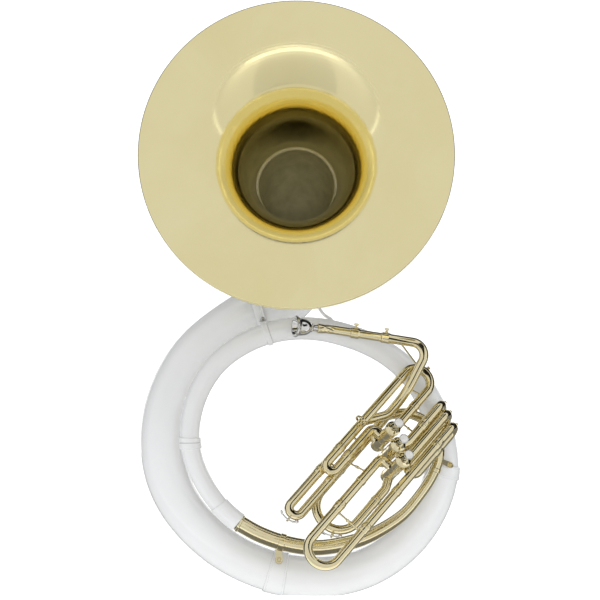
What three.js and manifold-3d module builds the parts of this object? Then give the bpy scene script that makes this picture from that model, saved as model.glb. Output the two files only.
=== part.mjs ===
// A marching sousaphone: a fibreglass body ring with a brass bell, a brass valve section and a brass branch.
// Millimetres, +Z up. The bell faces -Y. The origin is where the underside of the ring's top tube
// rests on the player's shoulder.
import * as THREE from "three";
import { mergeVertices } from "three/addons/utils/BufferGeometryUtils.js";
import Module from "manifold-3d";

const wasm = await Module();
wasm.setup();

const vec = (x, y, z) => new THREE.Vector3(x, y, z);
const degrees = Math.PI / 180;

// ---- Driving dimensions ----
const gap = 0.3; // between pieces that touch
const tubeRadius = 10.2; // outside of the valve section's tubing
const sleeveBore = 9.7; // inside of an outer slide sleeve
const slideRadius = 8.9; // outside of an inner slide leg
const tubeBore = 8.2; // inside of the tubing, for the 17.5 mm bore of a sousaphone in BBb less a wall
const tubeSides = 8;
const braceRadius = 2;

const bellRadius = 330; // a 26 inch bell
const bellDepth = 325; // rim to the end of the tenon
const tenonRadius = 88;
const bellWall = 1;
const bellSides = 28;
const bellCentre = vec(-18.5, -322, 392); // middle of the rim
const bellTilt = 10 * degrees; // the mouth looks up by this much
const bellAxis = vec(0, -Math.cos(bellTilt), Math.sin(bellTilt));

const ringCentre = vec(4.2, 0, -220.6);
const ringStep = 12; // degrees between two sections of the ring
const ringSides = 12;
const shellWall = 3;
const neckJoint = vec(-105.6, 98, 65.5);

const valveOrigin = vec(182.8, -132, -240.7); // middle of the second valve
const valveAxis = vec(0.244, -0.914, 0.325).normalize(); // from a bottom cap to its button
const tubeAxis = vec(0.617, 0.404, 0.676).projectOnPlane(valveAxis).normalize();
const sideAxis = valveAxis.clone().cross(tubeAxis);
const valvePlaces = [vec(19.7, 30.2, 0), vec(0, 0, 0), vec(-19.7, -30.2, 0)];
const casingRadius = 14.2;
const casingBore = 12.9;
const casingEnd = 62; // half the casing's length

// ---- Materials ----
const metal = (color, roughness) => new THREE.MeshStandardMaterial({ color, roughness, metalness: 1 });
const brass = () => metal(0xdcc88c, 0.18);
const silver = () => metal(0xd8d8d6, 0.2);
const steel = () => metal(0xb9bbbd, 0.35);
const gelCoat = () => new THREE.MeshStandardMaterial({ color: 0xe9e9e9, roughness: 0.25, metalness: 0 });
const pearl = () => new THREE.MeshStandardMaterial({ color: 0xf4f4f0, roughness: 0.2, metalness: 0 });

// ---- Solid helpers ----
function toSolid(geometry) {
  const bare = geometry.clone();
  bare.deleteAttribute("normal");
  bare.deleteAttribute("uv");
  const merged = mergeVertices(bare, 1e-4);
  const corners = merged.index.array;
  const faces = [];
  for (let i = 0; i < corners.length; i += 3) {
    const [a, b, c] = corners.slice(i, i + 3);
    if (a !== b && b !== c && c !== a) faces.push(a, b, c);
  }
  const mesh = new wasm.Mesh({
    numProp: 3,
    vertProperties: merged.attributes.position.array,
    triVerts: new Uint32Array(faces),
  });
  return new wasm.Manifold(mesh);
}

function toGeometry(solid) {
  const mesh = solid.getMesh();
  const geometry = new THREE.BufferGeometry();
  geometry.setAttribute("position", new THREE.BufferAttribute(new Float32Array(mesh.vertProperties), 3));
  geometry.setIndex(new THREE.BufferAttribute(new Uint32Array(mesh.triVerts), 1));
  geometry.computeVertexNormals();
  return geometry;
}

const join = (first, ...others) =>
  toGeometry(others.reduce((solid, other) => solid.add(toSolid(other)), toSolid(first)));
const cut = (first, ...tools) =>
  toGeometry(tools.reduce((solid, tool) => solid.subtract(toSolid(tool)), toSolid(first)));

// A turned piece along +Z from [radius, height] points that go round it anticlockwise.
function turned(profile, segments = 16) {
  const geometry = new THREE.LatheGeometry(
    profile.map(([radius, height]) => new THREE.Vector2(radius, height)),
    segments,
  );
  return geometry.rotateX(Math.PI / 2);
}

// A closed ring profile from an inner and an outer radius.
const band = (inner, outer, low, high) => [
  [inner, low],
  [outer, low],
  [outer, high],
  [inner, high],
  [inner, low],
];

// Moves a piece made along +Z so that it stands at a point and looks along a direction.
function standing(geometry, at, along) {
  const turn = new THREE.Quaternion().setFromUnitVectors(vec(0, 0, 1), along.clone().normalize());
  return geometry.applyQuaternion(turn).translate(at.x, at.y, at.z);
}

function rod(from, to, radius, sides = 8) {
  const along = to.clone().sub(from);
  const length = along.length();
  const geometry = new THREE.CylinderGeometry(radius, radius, length, sides).rotateX(Math.PI / 2);
  return standing(geometry.translate(0, 0, length / 2), from, along);
}

// ---- Routes: lists of { point, tangent } ----

// Straight legs with round corners. bends holds one radius for each inner corner.
function bentRoute(corners, bends, step = 30 * degrees) {
  const route = [{ point: corners[0], tangent: corners[1].clone().sub(corners[0]).normalize() }];
  for (let i = 1; i < corners.length - 1; i++) {
    const back = corners[i - 1].clone().sub(corners[i]).normalize();
    const onward = corners[i + 1].clone().sub(corners[i]).normalize();
    const turn = Math.PI - back.angleTo(onward);
    const radius = bends[i - 1];
    const toCentre = back.clone().add(onward).normalize();
    const centre = corners[i].clone().addScaledVector(toCentre, radius / Math.cos(turn / 2));
    const reach = radius * Math.tan(turn / 2);
    const start = corners[i].clone().addScaledVector(back, reach).sub(centre);
    const end = corners[i].clone().addScaledVector(onward, reach).sub(centre);
    const axis = start.clone().cross(end).normalize();
    const count = Math.max(1, Math.round(turn / step));
    for (let k = 0; k <= count; k++) {
      const angle = (turn * k) / count;
      const point = start.clone().applyAxisAngle(axis, angle).add(centre);
      const tangent = back.clone().negate().applyAxisAngle(axis, angle);
      route.push({ point, tangent });
    }
  }
  const last = corners.length - 1;
  route.push({ point: corners[last], tangent: corners[last].clone().sub(corners[last - 1]).normalize() });
  return route.filter(({ point }, i) => i === 0 || point.distanceTo(route[i - 1].point) > 0.05);
}

function smoothRoute(points, count) {
  const curve = new THREE.CatmullRomCurve3(points, false, "centripetal");
  return Array.from({ length: count + 1 }, (_, i) => ({
    point: curve.getPointAt(i / count),
    tangent: curve.getTangentAt(i / count),
  }));
}

// Joins rings of points into one closed skin. Each station is { outer: [...], inner: [...] or null }.
function skin(stations, sides) {
  const positions = [];
  const index = [];
  const hollow = Boolean(stations[0].inner);
  const last = stations.length - 1;
  const innerStart = stations.length * sides;
  const rings = stations.map((station) => station.outer);
  if (hollow) rings.push(...stations.map((station) => station.inner));
  for (const point of rings.flat()) positions.push(point.x, point.y, point.z);
  const quad = (a, b, c, d) => index.push(a, b, c, a, c, d);
  for (let k = 0; k < sides; k++) {
    const next = (k + 1) % sides;
    for (let i = 0; i < last; i++) {
      const here = i * sides;
      const there = here + sides;
      quad(here + k, here + next, there + next, there + k);
      if (hollow) {
        const innerHere = innerStart + here;
        const innerThere = innerStart + there;
        quad(innerHere + next, innerHere + k, innerThere + k, innerThere + next);
      }
    }
    const end = last * sides;
    if (hollow) {
      quad(next, k, innerStart + k, innerStart + next);
      quad(end + k, end + next, innerStart + end + next, innerStart + end + k);
    }
  }
  if (!hollow) {
    for (let k = 1; k < sides - 1; k++) {
      index.push(0, k + 1, k);
      index.push(last * sides, last * sides + k, last * sides + k + 1);
    }
  }
  const geometry = new THREE.BufferGeometry();
  geometry.setAttribute("position", new THREE.Float32BufferAttribute(positions, 3));
  geometry.setIndex(index);
  return toGeometry(toSolid(geometry));
}

// A tube along a route. outer and inner are numbers, or functions of the distance along it, and steps
// lists the distances at which either of them jumps.
function tube(route, outer, inner = 0, { up = valveAxis, sides = tubeSides, steps = [] } = {}) {
  const at = (value, distance) => (typeof value === "function" ? value(distance) : value);
  const hair = 1e-3;
  const places = [];
  let length = 0;
  route.forEach(({ point, tangent }, i) => {
    if (i > 0) {
      const before = route[i - 1].point;
      const leg = point.distanceTo(before);
      for (const step of steps.filter((value) => value > length + 0.1 && value < length + leg - 0.1)) {
        const spot = before.clone().lerp(point, (step - length) / leg);
        places.push({ point: spot, tangent: route[i - 1].tangent, distance: step - hair });
        places.push({ point: spot, tangent: route[i - 1].tangent, distance: step + hair });
      }
      length += leg;
    }
    places.push({ point, tangent, distance: length });
  });
  const normal = up.clone().projectOnPlane(route[0].tangent).normalize();
  const stations = places.map(({ point, tangent, distance }, i) => {
    if (i > 0) {
      normal.applyQuaternion(new THREE.Quaternion().setFromUnitVectors(places[i - 1].tangent, tangent));
    }
    const across = tangent.clone().cross(normal);
    const circle = (radius) =>
      Array.from({ length: sides }, (_, k) => {
        const angle = (2 * Math.PI * k) / sides;
        return point
          .clone()
          .addScaledVector(normal, radius * Math.cos(angle))
          .addScaledVector(across, radius * Math.sin(angle));
      });
    const bore = at(inner, distance);
    return { outer: circle(at(outer, distance)), inner: bore > 0 ? circle(bore) : null };
  });
  return skin(stations, sides);
}

const routeLength = (route) =>
  route.reduce((sum, { point }, i) => sum + (i ? point.distanceTo(route[i - 1].point) : 0), 0);

// ---- The scene ----
const group = new THREE.Group();
group.name = "sousaphone";

function add(name, geometry, material, parent = group) {
  const mesh = new THREE.Mesh(geometry, material);
  mesh.name = name;
  parent.add(mesh);
  return mesh;
}

// ---- Fibreglass body: a spiral that widens as it goes round twice ----
// Each row: angle in degrees, distance from the ring's centre, depth along +Y, tube diameter.
const spiral = [
  [230, 233, -37, 39],
  [205, 242.6, -31, 41],
  [180, 256, -24, 43],
  [144, 259.7, -14, 46],
  [120, 252.4, -7, 48],
  [93, 245.6, 0, 49.5],
  [72, 245, 5, 51],
  [58, 250.8, 8, 52],
  [44, 260.9, 12, 53],
  [20, 281, 19, 58],
  [0, 295.7, 26, 66],
  [-12, 304.7, 30, 75],
  [-37, 312.9, 39, 82],
  [-64, 314, 48, 87],
  [-90, 306, 56, 91],
  [-113, 304.2, 63, 91],
  [-135, 309.6, 70, 92],
  [-160, 320.9, 78, 96],
  [-180, 321.3, 84, 99],
  [-216, 311.2, 93, 104],
  [-234, 303.6, 96, 106],
  [-249, 306.4, 98, 108],
];

// One value of the spiral at an angle, on a smooth curve through the rows.
function spiralAt(angle, column) {
  let row = spiral.findIndex((entry) => entry[0] <= angle);
  row = THREE.MathUtils.clamp(row, 1, spiral.length - 1);
  const rows = [row - 2, row - 1, row, row + 1].map(
    (i) => spiral[THREE.MathUtils.clamp(i, 0, spiral.length - 1)],
  );
  const span = rows[2][0] - rows[1][0];
  const share = (angle - rows[1][0]) / span;
  const slopeAt = (a, b) => ((b[column] - a[column]) / (b[0] - a[0] || 1)) * span;
  const slopeIn = slopeAt(rows[0], rows[2]);
  const slopeOut = slopeAt(rows[1], rows[3]);
  const cube = share ** 3;
  const square = share ** 2;
  return (
    (2 * cube - 3 * square + 1) * rows[1][column] +
    (cube - 2 * square + share) * slopeIn +
    (3 * square - 2 * cube) * rows[2][column] +
    (cube - square) * slopeOut
  );
}

// A section's ring of points at one of the spiral's whole steps.
function spiralSection(angle, offset) {
  const held = Math.max(angle, spiral.at(-1)[0]);
  const outward = vec(Math.cos(held * degrees), 0, Math.sin(held * degrees));
  const centre = ringCentre.clone().addScaledVector(outward, spiralAt(held, 1));
  centre.y = spiralAt(held, 2);
  const radius = spiralAt(held, 3) / 2 + offset;
  return Array.from({ length: ringSides }, (_, k) => {
    const turn = (2 * Math.PI * k) / ringSides;
    return centre
      .clone()
      .addScaledVector(outward, radius * Math.cos(turn))
      .add(vec(0, -radius * Math.sin(turn), 0));
  });
}

// Between two whole steps the skin is straight, so that pieces one inside the other stay parallel.
function spiralRing(angle, offset) {
  const high = Math.ceil(angle / ringStep) * ringStep;
  const low = Math.max(high - ringStep, spiral.at(-1)[0]);
  const share = (high - angle) / (high - low);
  const end = spiralSection(low, offset);
  return spiralSection(high, offset).map((point, k) => point.lerp(end[k], share));
}

// A stretch of the spiral's tube. Each span runs on to an angle with its own offsets, outer and inner,
// from the tube's surface; without an inner offset the stretch is solid.
function spiralTube(from, spans) {
  const stations = [];
  let start = from;
  for (const { to, outer, inner } of spans) {
    const angles = [start];
    for (let angle = Math.ceil(start / ringStep - 1) * ringStep; angle > to + 0.5; angle -= ringStep) {
      if (angle < start - 0.5) angles.push(angle);
    }
    angles.push(to);
    for (const angle of angles) {
      const hollow = inner !== undefined;
      stations.push({ outer: spiralRing(angle, outer), inner: hollow ? spiralRing(angle, inner) : null });
    }
    start = to;
  }
  return skin(stations, ringSides);
}

const sectionGap = 0.06; // degrees, about 0.3 mm of the ring
const collarRise = 3; // a collar stands this much proud of its tubes
const wall = -shellWall;

function fibreglassBody() {
  const plain = (to) => ({ to, outer: 0, inner: wall });
  const raised = (to, rise = collarRise) => ({ to, outer: rise, inner: wall });
  const section = (name, from, spans) => add(name, spiralTube(from, spans), gelCoat());
  section("body_start_section", 230, [raised(216, 2.5), plain(184), raised(181)]);
  section("body_left_section", 181 - sectionGap, [raised(178.5), plain(112), raised(109)]);
  section("body_top_section", 109 - sectionGap, [plain(-13)]);
  section("body_right_section", -13 - sectionGap, [plain(-102)]);
  section("body_large_section", -102 - sectionGap, [plain(-247.5)]);
  section("right_collar", -10.5, [{ to: -15, outer: collarRise, inner: gap }]);
  section("bottom_collar", -99, [{ to: -106, outer: collarRise, inner: gap }]);
}

// ---- Neck: from the ring's large end up to the bell ----
const neckRise = 17 * degrees; // slope of the neck where it leaves the ring
const neckStart = vec(Math.cos(neckRise), 0, Math.sin(neckRise));
const neckEnd = bellCentre.clone().addScaledVector(bellAxis, -(bellDepth + 1.5));
const neckX = bellCentre.x;
const neckDepth = 108;
const neckSides = 12;
const neckFront = vec(0, -1, 0);
const neckRoute = bentRoute(
  [
    neckJoint,
    vec(neckX, 103, neckJoint.z + (neckX - neckJoint.x) * Math.tan(neckRise)),
    vec(neckX, neckDepth, neckEnd.z - (neckDepth - neckEnd.y) * Math.tan(bellTilt)),
    neckEnd,
  ],
  [72, 112],
  20 * degrees,
);
const neckRadii = [54, 86.4];
const neckRadius = (distance) =>
  THREE.MathUtils.lerp(...neckRadii, distance / routeLength(neckRoute));

const screwShank = 2.5;

// A screw with a flat thumb wing, standing on a surface along a direction.
function thumbScrew(at, facing, depth) {
  const body = join(
    rod(vec(0, 0, -depth), vec(0, 0, 1), screwShank, 8),
    new THREE.BoxGeometry(15, 2.6, 9).translate(0, 0, 9.5),
    rod(vec(0, 0, 0.6), vec(0, 0, 6), 4.2, 8),
  );
  return standing(body, at, facing);
}

const screwHole = (at, facing) => rod(at, at.clone().addScaledVector(facing, -8), screwShank + gap + 0.2, 8);

function neckAndBellCollar() {
  const options = { up: neckFront, sides: neckSides };
  add("neck", tube(neckRoute, neckRadius, (distance) => neckRadius(distance) - shellWall, options), gelCoat());

  const collarBore = neckRadii[0] + 3.2;
  const collarRadius = 61;
  const below = vec(neckStart.z, 0, -neckStart.x);
  const screwTurn = 22 * degrees;
  const facing = neckFront.clone().multiplyScalar(Math.cos(screwTurn));
  facing.addScaledVector(below, Math.sin(screwTurn));
  const screwAt = neckJoint.clone().addScaledVector(neckStart, 5).addScaledVector(facing, collarRadius);
  const collar = standing(turned(band(collarBore, collarRadius, -9, 12), 20), neckJoint, neckStart);
  add("neck_collar", cut(collar, screwHole(screwAt, facing)), gelCoat());
  add("neck_screw", thumbScrew(screwAt.addScaledVector(facing, gap), facing, 2.8), steel());

  // The ring that holds the bell's tenon, with three clamp screws round it.
  const collarAt = bellCentre.clone().addScaledVector(bellAxis, -bellDepth);
  const bellCollarRadius = 93;
  const tapered = [
    [tenonRadius + 0.9, -14],
    [bellCollarRadius, -14],
    [bellCollarRadius, 32],
    [tenonRadius + 2.2, 32],
    [tenonRadius + 0.9, -14],
  ];
  const ring = standing(turned(tapered, bellSides), collarAt, bellAxis);
  const sideways = vec(1, 0, 0);
  const upward = sideways.clone().cross(bellAxis).negate();
  const holes = [90, 210, 330].map((turn, i) => {
    const out = sideways
      .clone()
      .multiplyScalar(Math.cos(turn * degrees))
      .addScaledVector(upward, Math.sin(turn * degrees));
    const at = collarAt.clone().addScaledVector(bellAxis, 16).addScaledVector(out, bellCollarRadius + gap);
    add("bell_screw_" + (i + 1), thumbScrew(at, out, 3.5), silver());
    return screwHole(at, out);
  });
  add("bell_collar", cut(ring, ...holes), brass());

  // A curved stay from the top of the ring to the neck.
  const stayPoints = [vec(64, 5, 27), vec(59, 12, 43), vec(43, 32, 54), vec(28, 50, 74), vec(10, 68, 106)];
  const stay = tube(smoothRoute(stayPoints, 7), 3, 0, { up: vec(1, 0, 0), sides: 6 });
  const foot = rod(vec(64, 5, 20), vec(66, 5, 31), 7, 8);
  const ringCutter = spiralTube(108, [{ to: 48, outer: gap }]);
  const neckCutter = tube(neckRoute, (distance) => neckRadius(distance) + gap, 0, options);
  add("neck_stay", cut(join(stay, foot), ringCutter, neckCutter), gelCoat());
}

// ---- Bell ----
// Radius of the flare at a depth behind the rim.
const flareSteepness = 0.447;
const flareStart = 16;
const flare = (depth) => bellRadius * (flareStart / (depth + flareStart)) ** flareSteepness;

function bell() {
  const depths = [270, 185, 122, 76, 44, 22, 9];
  const backOffset = bellWall * 1.2;
  const inside = depths.map((depth) => [flare(depth) - bellWall, -depth]);
  const outside = depths.map((depth) => [flare(depth + backOffset), -depth - backOffset]).reverse();
  const bead = 3.2;
  const rim = [
    [bellRadius - 8, 0],
    [bellRadius - 2, 0],
    [bellRadius, -bead],
    [bellRadius - 2, -2 * bead],
    [bellRadius - 8, -2 * bead],
  ];
  const profile = [
    [tenonRadius - bellWall, -bellDepth],
    ...inside,
    ...rim,
    ...outside,
    [tenonRadius, -bellDepth],
    [tenonRadius - bellWall, -bellDepth],
  ];
  add("bell", standing(turned(profile.reverse(), bellSides), bellCentre, bellAxis), brass());
}

// ---- Valve section, in its own frame: x along the tubes, y across them, z up the valves ----
const place = (x, y, z) =>
  valveOrigin
    .clone()
    .addScaledVector(tubeAxis, x)
    .addScaledVector(sideAxis, y)
    .addScaledVector(valveAxis, z);
const valveRoute = (corners, bends) => bentRoute(corners.map((corner) => place(...corner)), bends);
const casingCutter = (i) => {
  const { x, y } = valvePlaces[i];
  return rod(place(x, y, -80), place(x, y, 80), casingRadius + 0.8, 12);
};
const brace = (from, to, radius = braceRadius) => rod(place(...from), place(...to), radius, 6);

// Legs of the slides: [y, z] across the section.
const legA = [88, 0];
const legB = [63.6, 0];
const legC = [88, -24];
const legD = [57.4, -24];
const legE = [26, 0];
const wideLeft = [56, -46];
const wideRight = [-45, -46];
const longLeft = [7.7, 5];
const longRight = [-64.7, 5];
const crookFront = [-37, 5];
const crookBack = [-47.5, -28];
const longBack = [-74.4, -28];
const shortFront = [-14.8, 5];
const shortBack = [-23.9, -28];

// Each slide: where its outer sleeves end, how far its bow reaches, how long its inner legs are.
const firstSlide = { end: -70, reach: -124, overlap: 62 };
const mainSlide = { end: -128, reach: -245, overlap: 62 };
const branchSlide = { end: -90, reach: -205, overlap: 28 };
const thirdSlide = { end: -170, reach: -303, overlap: 62 };
const secondSlide = { end: 96, reach: 168, overlap: 38 };
const upperSlide = { end: 84, reach: 147, overlap: 50 };
const crookReach = 160;
const sleeveSlack = 4; // room past the end of an inner leg

const spreadOf = ([y1, z1], [y2, z2]) => Math.hypot(y2 - y1, z2 - z1);
const bendOf = (first, second) => spreadOf(first, second) / 2 - 0.01;

// A slide: a bow of full diameter with two thinner legs that run into the outer sleeves.
function slide(name, first, second, { end, reach, overlap }, extras = []) {
  const inward = Math.sign(end - reach);
  const tip = end + inward * overlap;
  const route = valveRoute(
    [
      [tip, ...first],
      [reach, ...first],
      [reach, ...second],
      [tip, ...second],
    ],
    [bendOf(first, second), bendOf(first, second)],
  );
  const seam = overlap + gap;
  const length = routeLength(route);
  const outer = (distance) => (distance < seam || distance > length - seam ? slideRadius : tubeRadius);
  const bow = tube(route, outer, tubeBore, { steps: [seam, length - seam] });
  add(name, extras.length ? join(bow, ...extras) : bow, brass());
}

// A fixed tube whose first stretch, and last if wanted, is bored out to take an inner slide leg.
function sleeved(route, first, last = 0) {
  const length = routeLength(route);
  const bored = (distance) => distance < first || (last > 0 && distance > length - last);
  const inner = (distance) => (bored(distance) ? sleeveBore : tubeBore);
  return tube(route, tubeRadius, inner, { steps: last > 0 ? [first, length - last] : [first] });
}

// A brace between two tubes that run side by side.
function link(x, [y1, z1], [y2, z2], radius = braceRadius) {
  const from = place(x, y1, z1);
  const to = place(x, y2, z2);
  const across = to.clone().sub(from).normalize();
  return rod(from.addScaledVector(across, surface), to.addScaledVector(across, -surface), radius, 6);
}

const roomFor = ({ overlap }) => overlap + sleeveSlack;
const surface = 9.2; // a brace starts this far from a tube's axis, inside its wall

function firstValveTubes() {
  const topReach = 196;
  const loopRoute = valveRoute(
    [
      [firstSlide.end, ...legA],
      [topReach, ...legA],
      [topReach, ...legE],
      [valvePlaces[0].x + 6, ...legE],
    ],
    [bendOf(legA, legE), bendOf(legA, legE)],
  );
  const middle = (legA[0] + legE[0]) / 2;
  const knob = [
    brace([topReach + surface, middle, 0], [topReach + 16, middle, 0], 2.2),
    brace([topReach + 15, middle, 0], [topReach + 19, middle, 0], 4),
  ];
  const pipeBrace = brace([150, legE[0] + surface, 0], [150, 50, 10]);
  const loop = cut(join(sleeved(loopRoute, roomFor(firstSlide)), ...knob, pipeBrace), casingCutter(0));
  add("first_valve_loop_tube", loop, brass());

  const returnRoute = valveRoute([[firstSlide.end, ...legB], [17, ...legB], [17, 36, 0]], [13]);
  const tie = brace([-30, legB[0] + surface, 0], [-30, legA[0] - tubeRadius - gap, 0], 2.4);
  const firstReturn = cut(join(sleeved(returnRoute, roomFor(firstSlide)), tie), casingCutter(0));
  add("first_valve_return_tube", firstReturn, brass());
}

const mainRoute = valveRoute([[mainSlide.end, ...legD], [11, ...legD], [11, 36, -24]], [13]);

function throughTubes() {
  const mainReturn = cut(sleeved(mainRoute, roomFor(mainSlide)), casingCutter(0));
  add("main_slide_return_tube", mainReturn, brass());
  const exitRoute = valveRoute([[branchSlide.end, ...wideRight], [-52, ...wideRight], [-24, -32, -44]], [24]);
  add("branch_slide_right_tube", cut(sleeved(exitRoute, roomFor(branchSlide)), casingCutter(2)), brass());
}

function thirdValveTubes() {
  const leftRoute = valveRoute([[thirdSlide.end, ...longLeft], [-26, ...longLeft], [-26, -24, 5]], [12]);
  const tie = cut(
    brace([-72, longLeft[0] + surface - 1.5, 2], [-72, 52, -18]),
    tube(mainRoute, tubeRadius + gap),
  );
  const left = cut(join(sleeved(leftRoute, roomFor(thirdSlide)), tie), casingCutter(2));
  add("third_valve_left_tube", left, brass());

  const rightRoute = valveRoute([[thirdSlide.end, ...longRight], [upperSlide.end, ...longRight]], []);
  add("third_valve_right_tube", sleeved(rightRoute, roomFor(thirdSlide), roomFor(upperSlide)), brass());

  // From the upper slide's back leg, round a crook, up and over into the third valve again.
  const crookRoute = valveRoute(
    [
      [upperSlide.end, ...longBack],
      [8, ...longBack],
      [8, ...crookBack],
      [crookReach, ...crookBack],
      [crookReach, ...crookFront],
      [-12, ...crookFront],
    ],
    [
      bendOf(longBack, crookBack),
      bendOf(longBack, crookBack),
      bendOf(crookBack, crookFront),
      bendOf(crookBack, crookFront),
    ],
  );
  add("third_valve_crook_tube", cut(sleeved(crookRoute, roomFor(upperSlide)), casingCutter(2)), brass());
}

function secondValveTubes() {
  const frontRoute = valveRoute(
    [[secondSlide.end, ...shortFront], [44, ...shortFront], [24, -5, 5], [8, -5, 5]],
    [24, 24],
  );
  const backRoute = valveRoute(
    [[secondSlide.end, ...shortBack], [44, ...shortBack], [22, -6, -28], [8, -6, -28]],
    [20, 20],
  );
  const tie = link(72, shortFront, shortBack, 3);
  const loopTie = brace([69, shortFront[0] + surface, 5], [69, legE[0] - tubeRadius - gap, 2]);
  const pair = join(
    sleeved(frontRoute, roomFor(secondSlide)),
    sleeved(backRoute, roomFor(secondSlide)),
    tie,
    loopTie,
  );
  add("second_valve_tubes", cut(pair, casingCutter(1)), brass());
}

// A small pull knob at the top of a bow.
function pullKnob({ reach }, [y1, z1], [y2, z2]) {
  const y = (y1 + y2) / 2;
  const z = (z1 + z2) / 2;
  return [
    brace([reach + surface, y, z], [reach + 12, y, z], 2.2),
    brace([reach + 11, y, z], [reach + 14, y, z], 3.6),
  ];
}

function slides() {
  const stay = brace([-184, longLeft[0] - surface, 5], [-184, longRight[0] + surface, 5]);
  slide("first_valve_slide", legA, legB, firstSlide);
  slide("main_tuning_slide", legC, legD, mainSlide);
  slide("third_valve_slide", longLeft, longRight, thirdSlide, [stay]);
  slide("branch_tuning_slide", wideLeft, wideRight, branchSlide);
  const secondKnob = pullKnob(secondSlide, shortFront, shortBack);
  slide("second_valve_slide", shortFront, shortBack, secondSlide, secondKnob);
  const upperKnob = pullKnob(upperSlide, longRight, longBack);
  slide("third_valve_upper_slide", longRight, longBack, upperSlide, upperKnob);
}

// A water key: a curved lever round the outside of a bow, a cork pad at one end, a touch at the other.
function waterKey(name, first, second, { reach }, padAngle, touchAngle) {
  const bowRadius = spreadOf(first, second) / 2;
  const centreX = reach + bowRadius;
  const centreY = (first[0] + second[0]) / 2;
  const pivotAngle = (padAngle + touchAngle) / 2;
  const lift = bowRadius + tubeRadius; // the bow's outer surface
  const spot = (angle, height, z = first[1]) =>
    place(
      centreX + (lift + height) * Math.cos(angle * degrees),
      centreY + (lift + height) * Math.sin(angle * degrees),
      z,
    );
  const count = 4;
  const lever = Array.from({ length: count + 1 }, (_, i) => {
    const share = i / count;
    return spot(THREE.MathUtils.lerp(padAngle, touchAngle, share), 5 + 2.5 * share ** 2);
  });
  const barrel = rod(spot(pivotAngle, 6, first[1] - 5), spot(pivotAngle, 6, first[1] + 5), 2.6, 8);
  const pad = rod(spot(padAngle, 0.7), spot(padAngle, 6), 4, 8);
  const touch = rod(spot(touchAngle, 7), spot(touchAngle, 9.4), 5, 8);
  add(name, join(tube(smoothRoute(lever, 5), 1.8, 0, { sides: 6 }), pad, barrel, touch), silver());
}

function valves() {
  // Ports of each casing: a line through the wall where each tube enters.
  const ports = [
    [
      [[22, 26, 0], [40, 26, 0]],
      [[17, 34, 0], [17, 50, 0]],
      [[11, 34, -24], [11, 50, -24]],
    ],
    [
      [[6, -5, 5], [20, -5, 5]],
      [[6, -6, -28], [20, -6, -28]],
    ],
    [
      [[-26, -24, 5], [-26, -12, 5]],
      [[-14, -37, 5], [0, -37, 5]],
      [[-24, -32, -44], [-40, -39, -45]],
    ],
  ];
  const portRadius = 7.5;
  const casingSides = 14;
  const skirt = casingRadius + gap;
  const topCap = [
    [skirt, casingEnd - 5],
    [16.2, casingEnd - 5],
    [16.2, casingEnd + 1],
    [8, casingEnd + 9],
    [4.2, casingEnd + 9],
    [4.2, casingEnd + gap],
    [skirt, casingEnd + gap],
    [skirt, casingEnd - 5],
  ];
  const bottomCap = [
    [0, -casingEnd - 9],
    [5, -casingEnd - 9],
    [15.6, -casingEnd - 2],
    [15.6, -casingEnd + 5],
    [skirt, -casingEnd + 5],
    [skirt, -casingEnd - gap],
    [0, -casingEnd - gap],
  ];
  // The piston is hollow below, where its spring pushes. Its stem passes the top cap.
  const pistonLow = -40;
  const springRoom = -14;
  const pistonRadius = casingBore - gap;
  const stemTop = 100;
  const pistonProfile = [
    [0, springRoom],
    [9.5, springRoom],
    [9.5, pistonLow],
    [pistonRadius, pistonLow],
    [pistonRadius, 52],
    [3.2, 52],
    [3.2, stemTop],
    [0, stemTop],
  ];
  const button = [
    [0, stemTop + gap],
    [7, stemTop + gap],
    [10.4, stemTop + 2.5],
    [10.4, stemTop + 7],
    [8.6, stemTop + 8.8],
    [0, stemTop + 9.4],
  ];
  const coils = 4;
  const perCoil = 5;
  const springRadius = 7.4;
  const springSpan = [-casingEnd + 1.2, springRoom - 1.2];

  valvePlaces.forEach(({ x, y }, i) => {
    const number = i + 1;
    const basis = new THREE.Matrix4().makeBasis(tubeAxis, sideAxis, valveAxis).setPosition(place(x, y, 0));
    const upright = (profile, segments) => turned(profile, segments).applyMatrix4(basis);
    const holes = ports[i].map(([from, to]) => rod(place(...from), place(...to), portRadius, 6));
    const casing = upright(band(casingBore, casingRadius, -casingEnd, casingEnd), casingSides);
    add("valve_casing_" + number, cut(casing, ...holes), brass());
    add("top_cap_" + number, upright(topCap, casingSides), brass());
    add("bottom_cap_" + number, upright(bottomCap, casingSides), brass());
    const passages = [
      rod(place(x - 16, y, 4), place(x + 16, y, 4), 8, 6),
      rod(place(x, y - 16, 27), place(x, y + 16, 27), 8, 6),
    ];
    add("piston_" + number, cut(upright(pistonProfile, casingSides), ...passages), silver());
    add("finger_button_" + number, upright(button, 12), pearl());

    const wire = Array.from({ length: coils * perCoil + 1 }, (_, k) => {
      const turn = (2 * Math.PI * k) / perCoil;
      const height = THREE.MathUtils.lerp(...springSpan, k / (coils * perCoil));
      const point = place(x + springRadius * Math.cos(turn), y + springRadius * Math.sin(turn), height);
      const tangent = tubeAxis
        .clone()
        .multiplyScalar(-Math.sin(turn))
        .addScaledVector(sideAxis, Math.cos(turn))
        .addScaledVector(valveAxis, 0.24)
        .normalize();
      return { point, tangent };
    });
    add("valve_spring_" + number, tube(wire, 0.9, 0, { sides: 3 }), steel());
  });
}

// ---- Brass branch: from the ring's small end round below the valves to the slide beside them ----
// A flat arm from one point to another whose broad face looks along a direction.
function arm(from, to, width, facing) {
  const reach = to.clone().sub(from);
  const ahead = reach.clone().normalize();
  const normal = facing.clone().projectOnPlane(ahead).normalize();
  const basis = new THREE.Matrix4().makeBasis(normal.clone().cross(ahead), normal, ahead);
  const plate = new THREE.BoxGeometry(width, 3, reach.length()).translate(0, 0, reach.length() / 2);
  return plate.applyMatrix4(basis.setPosition(from));
}

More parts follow.
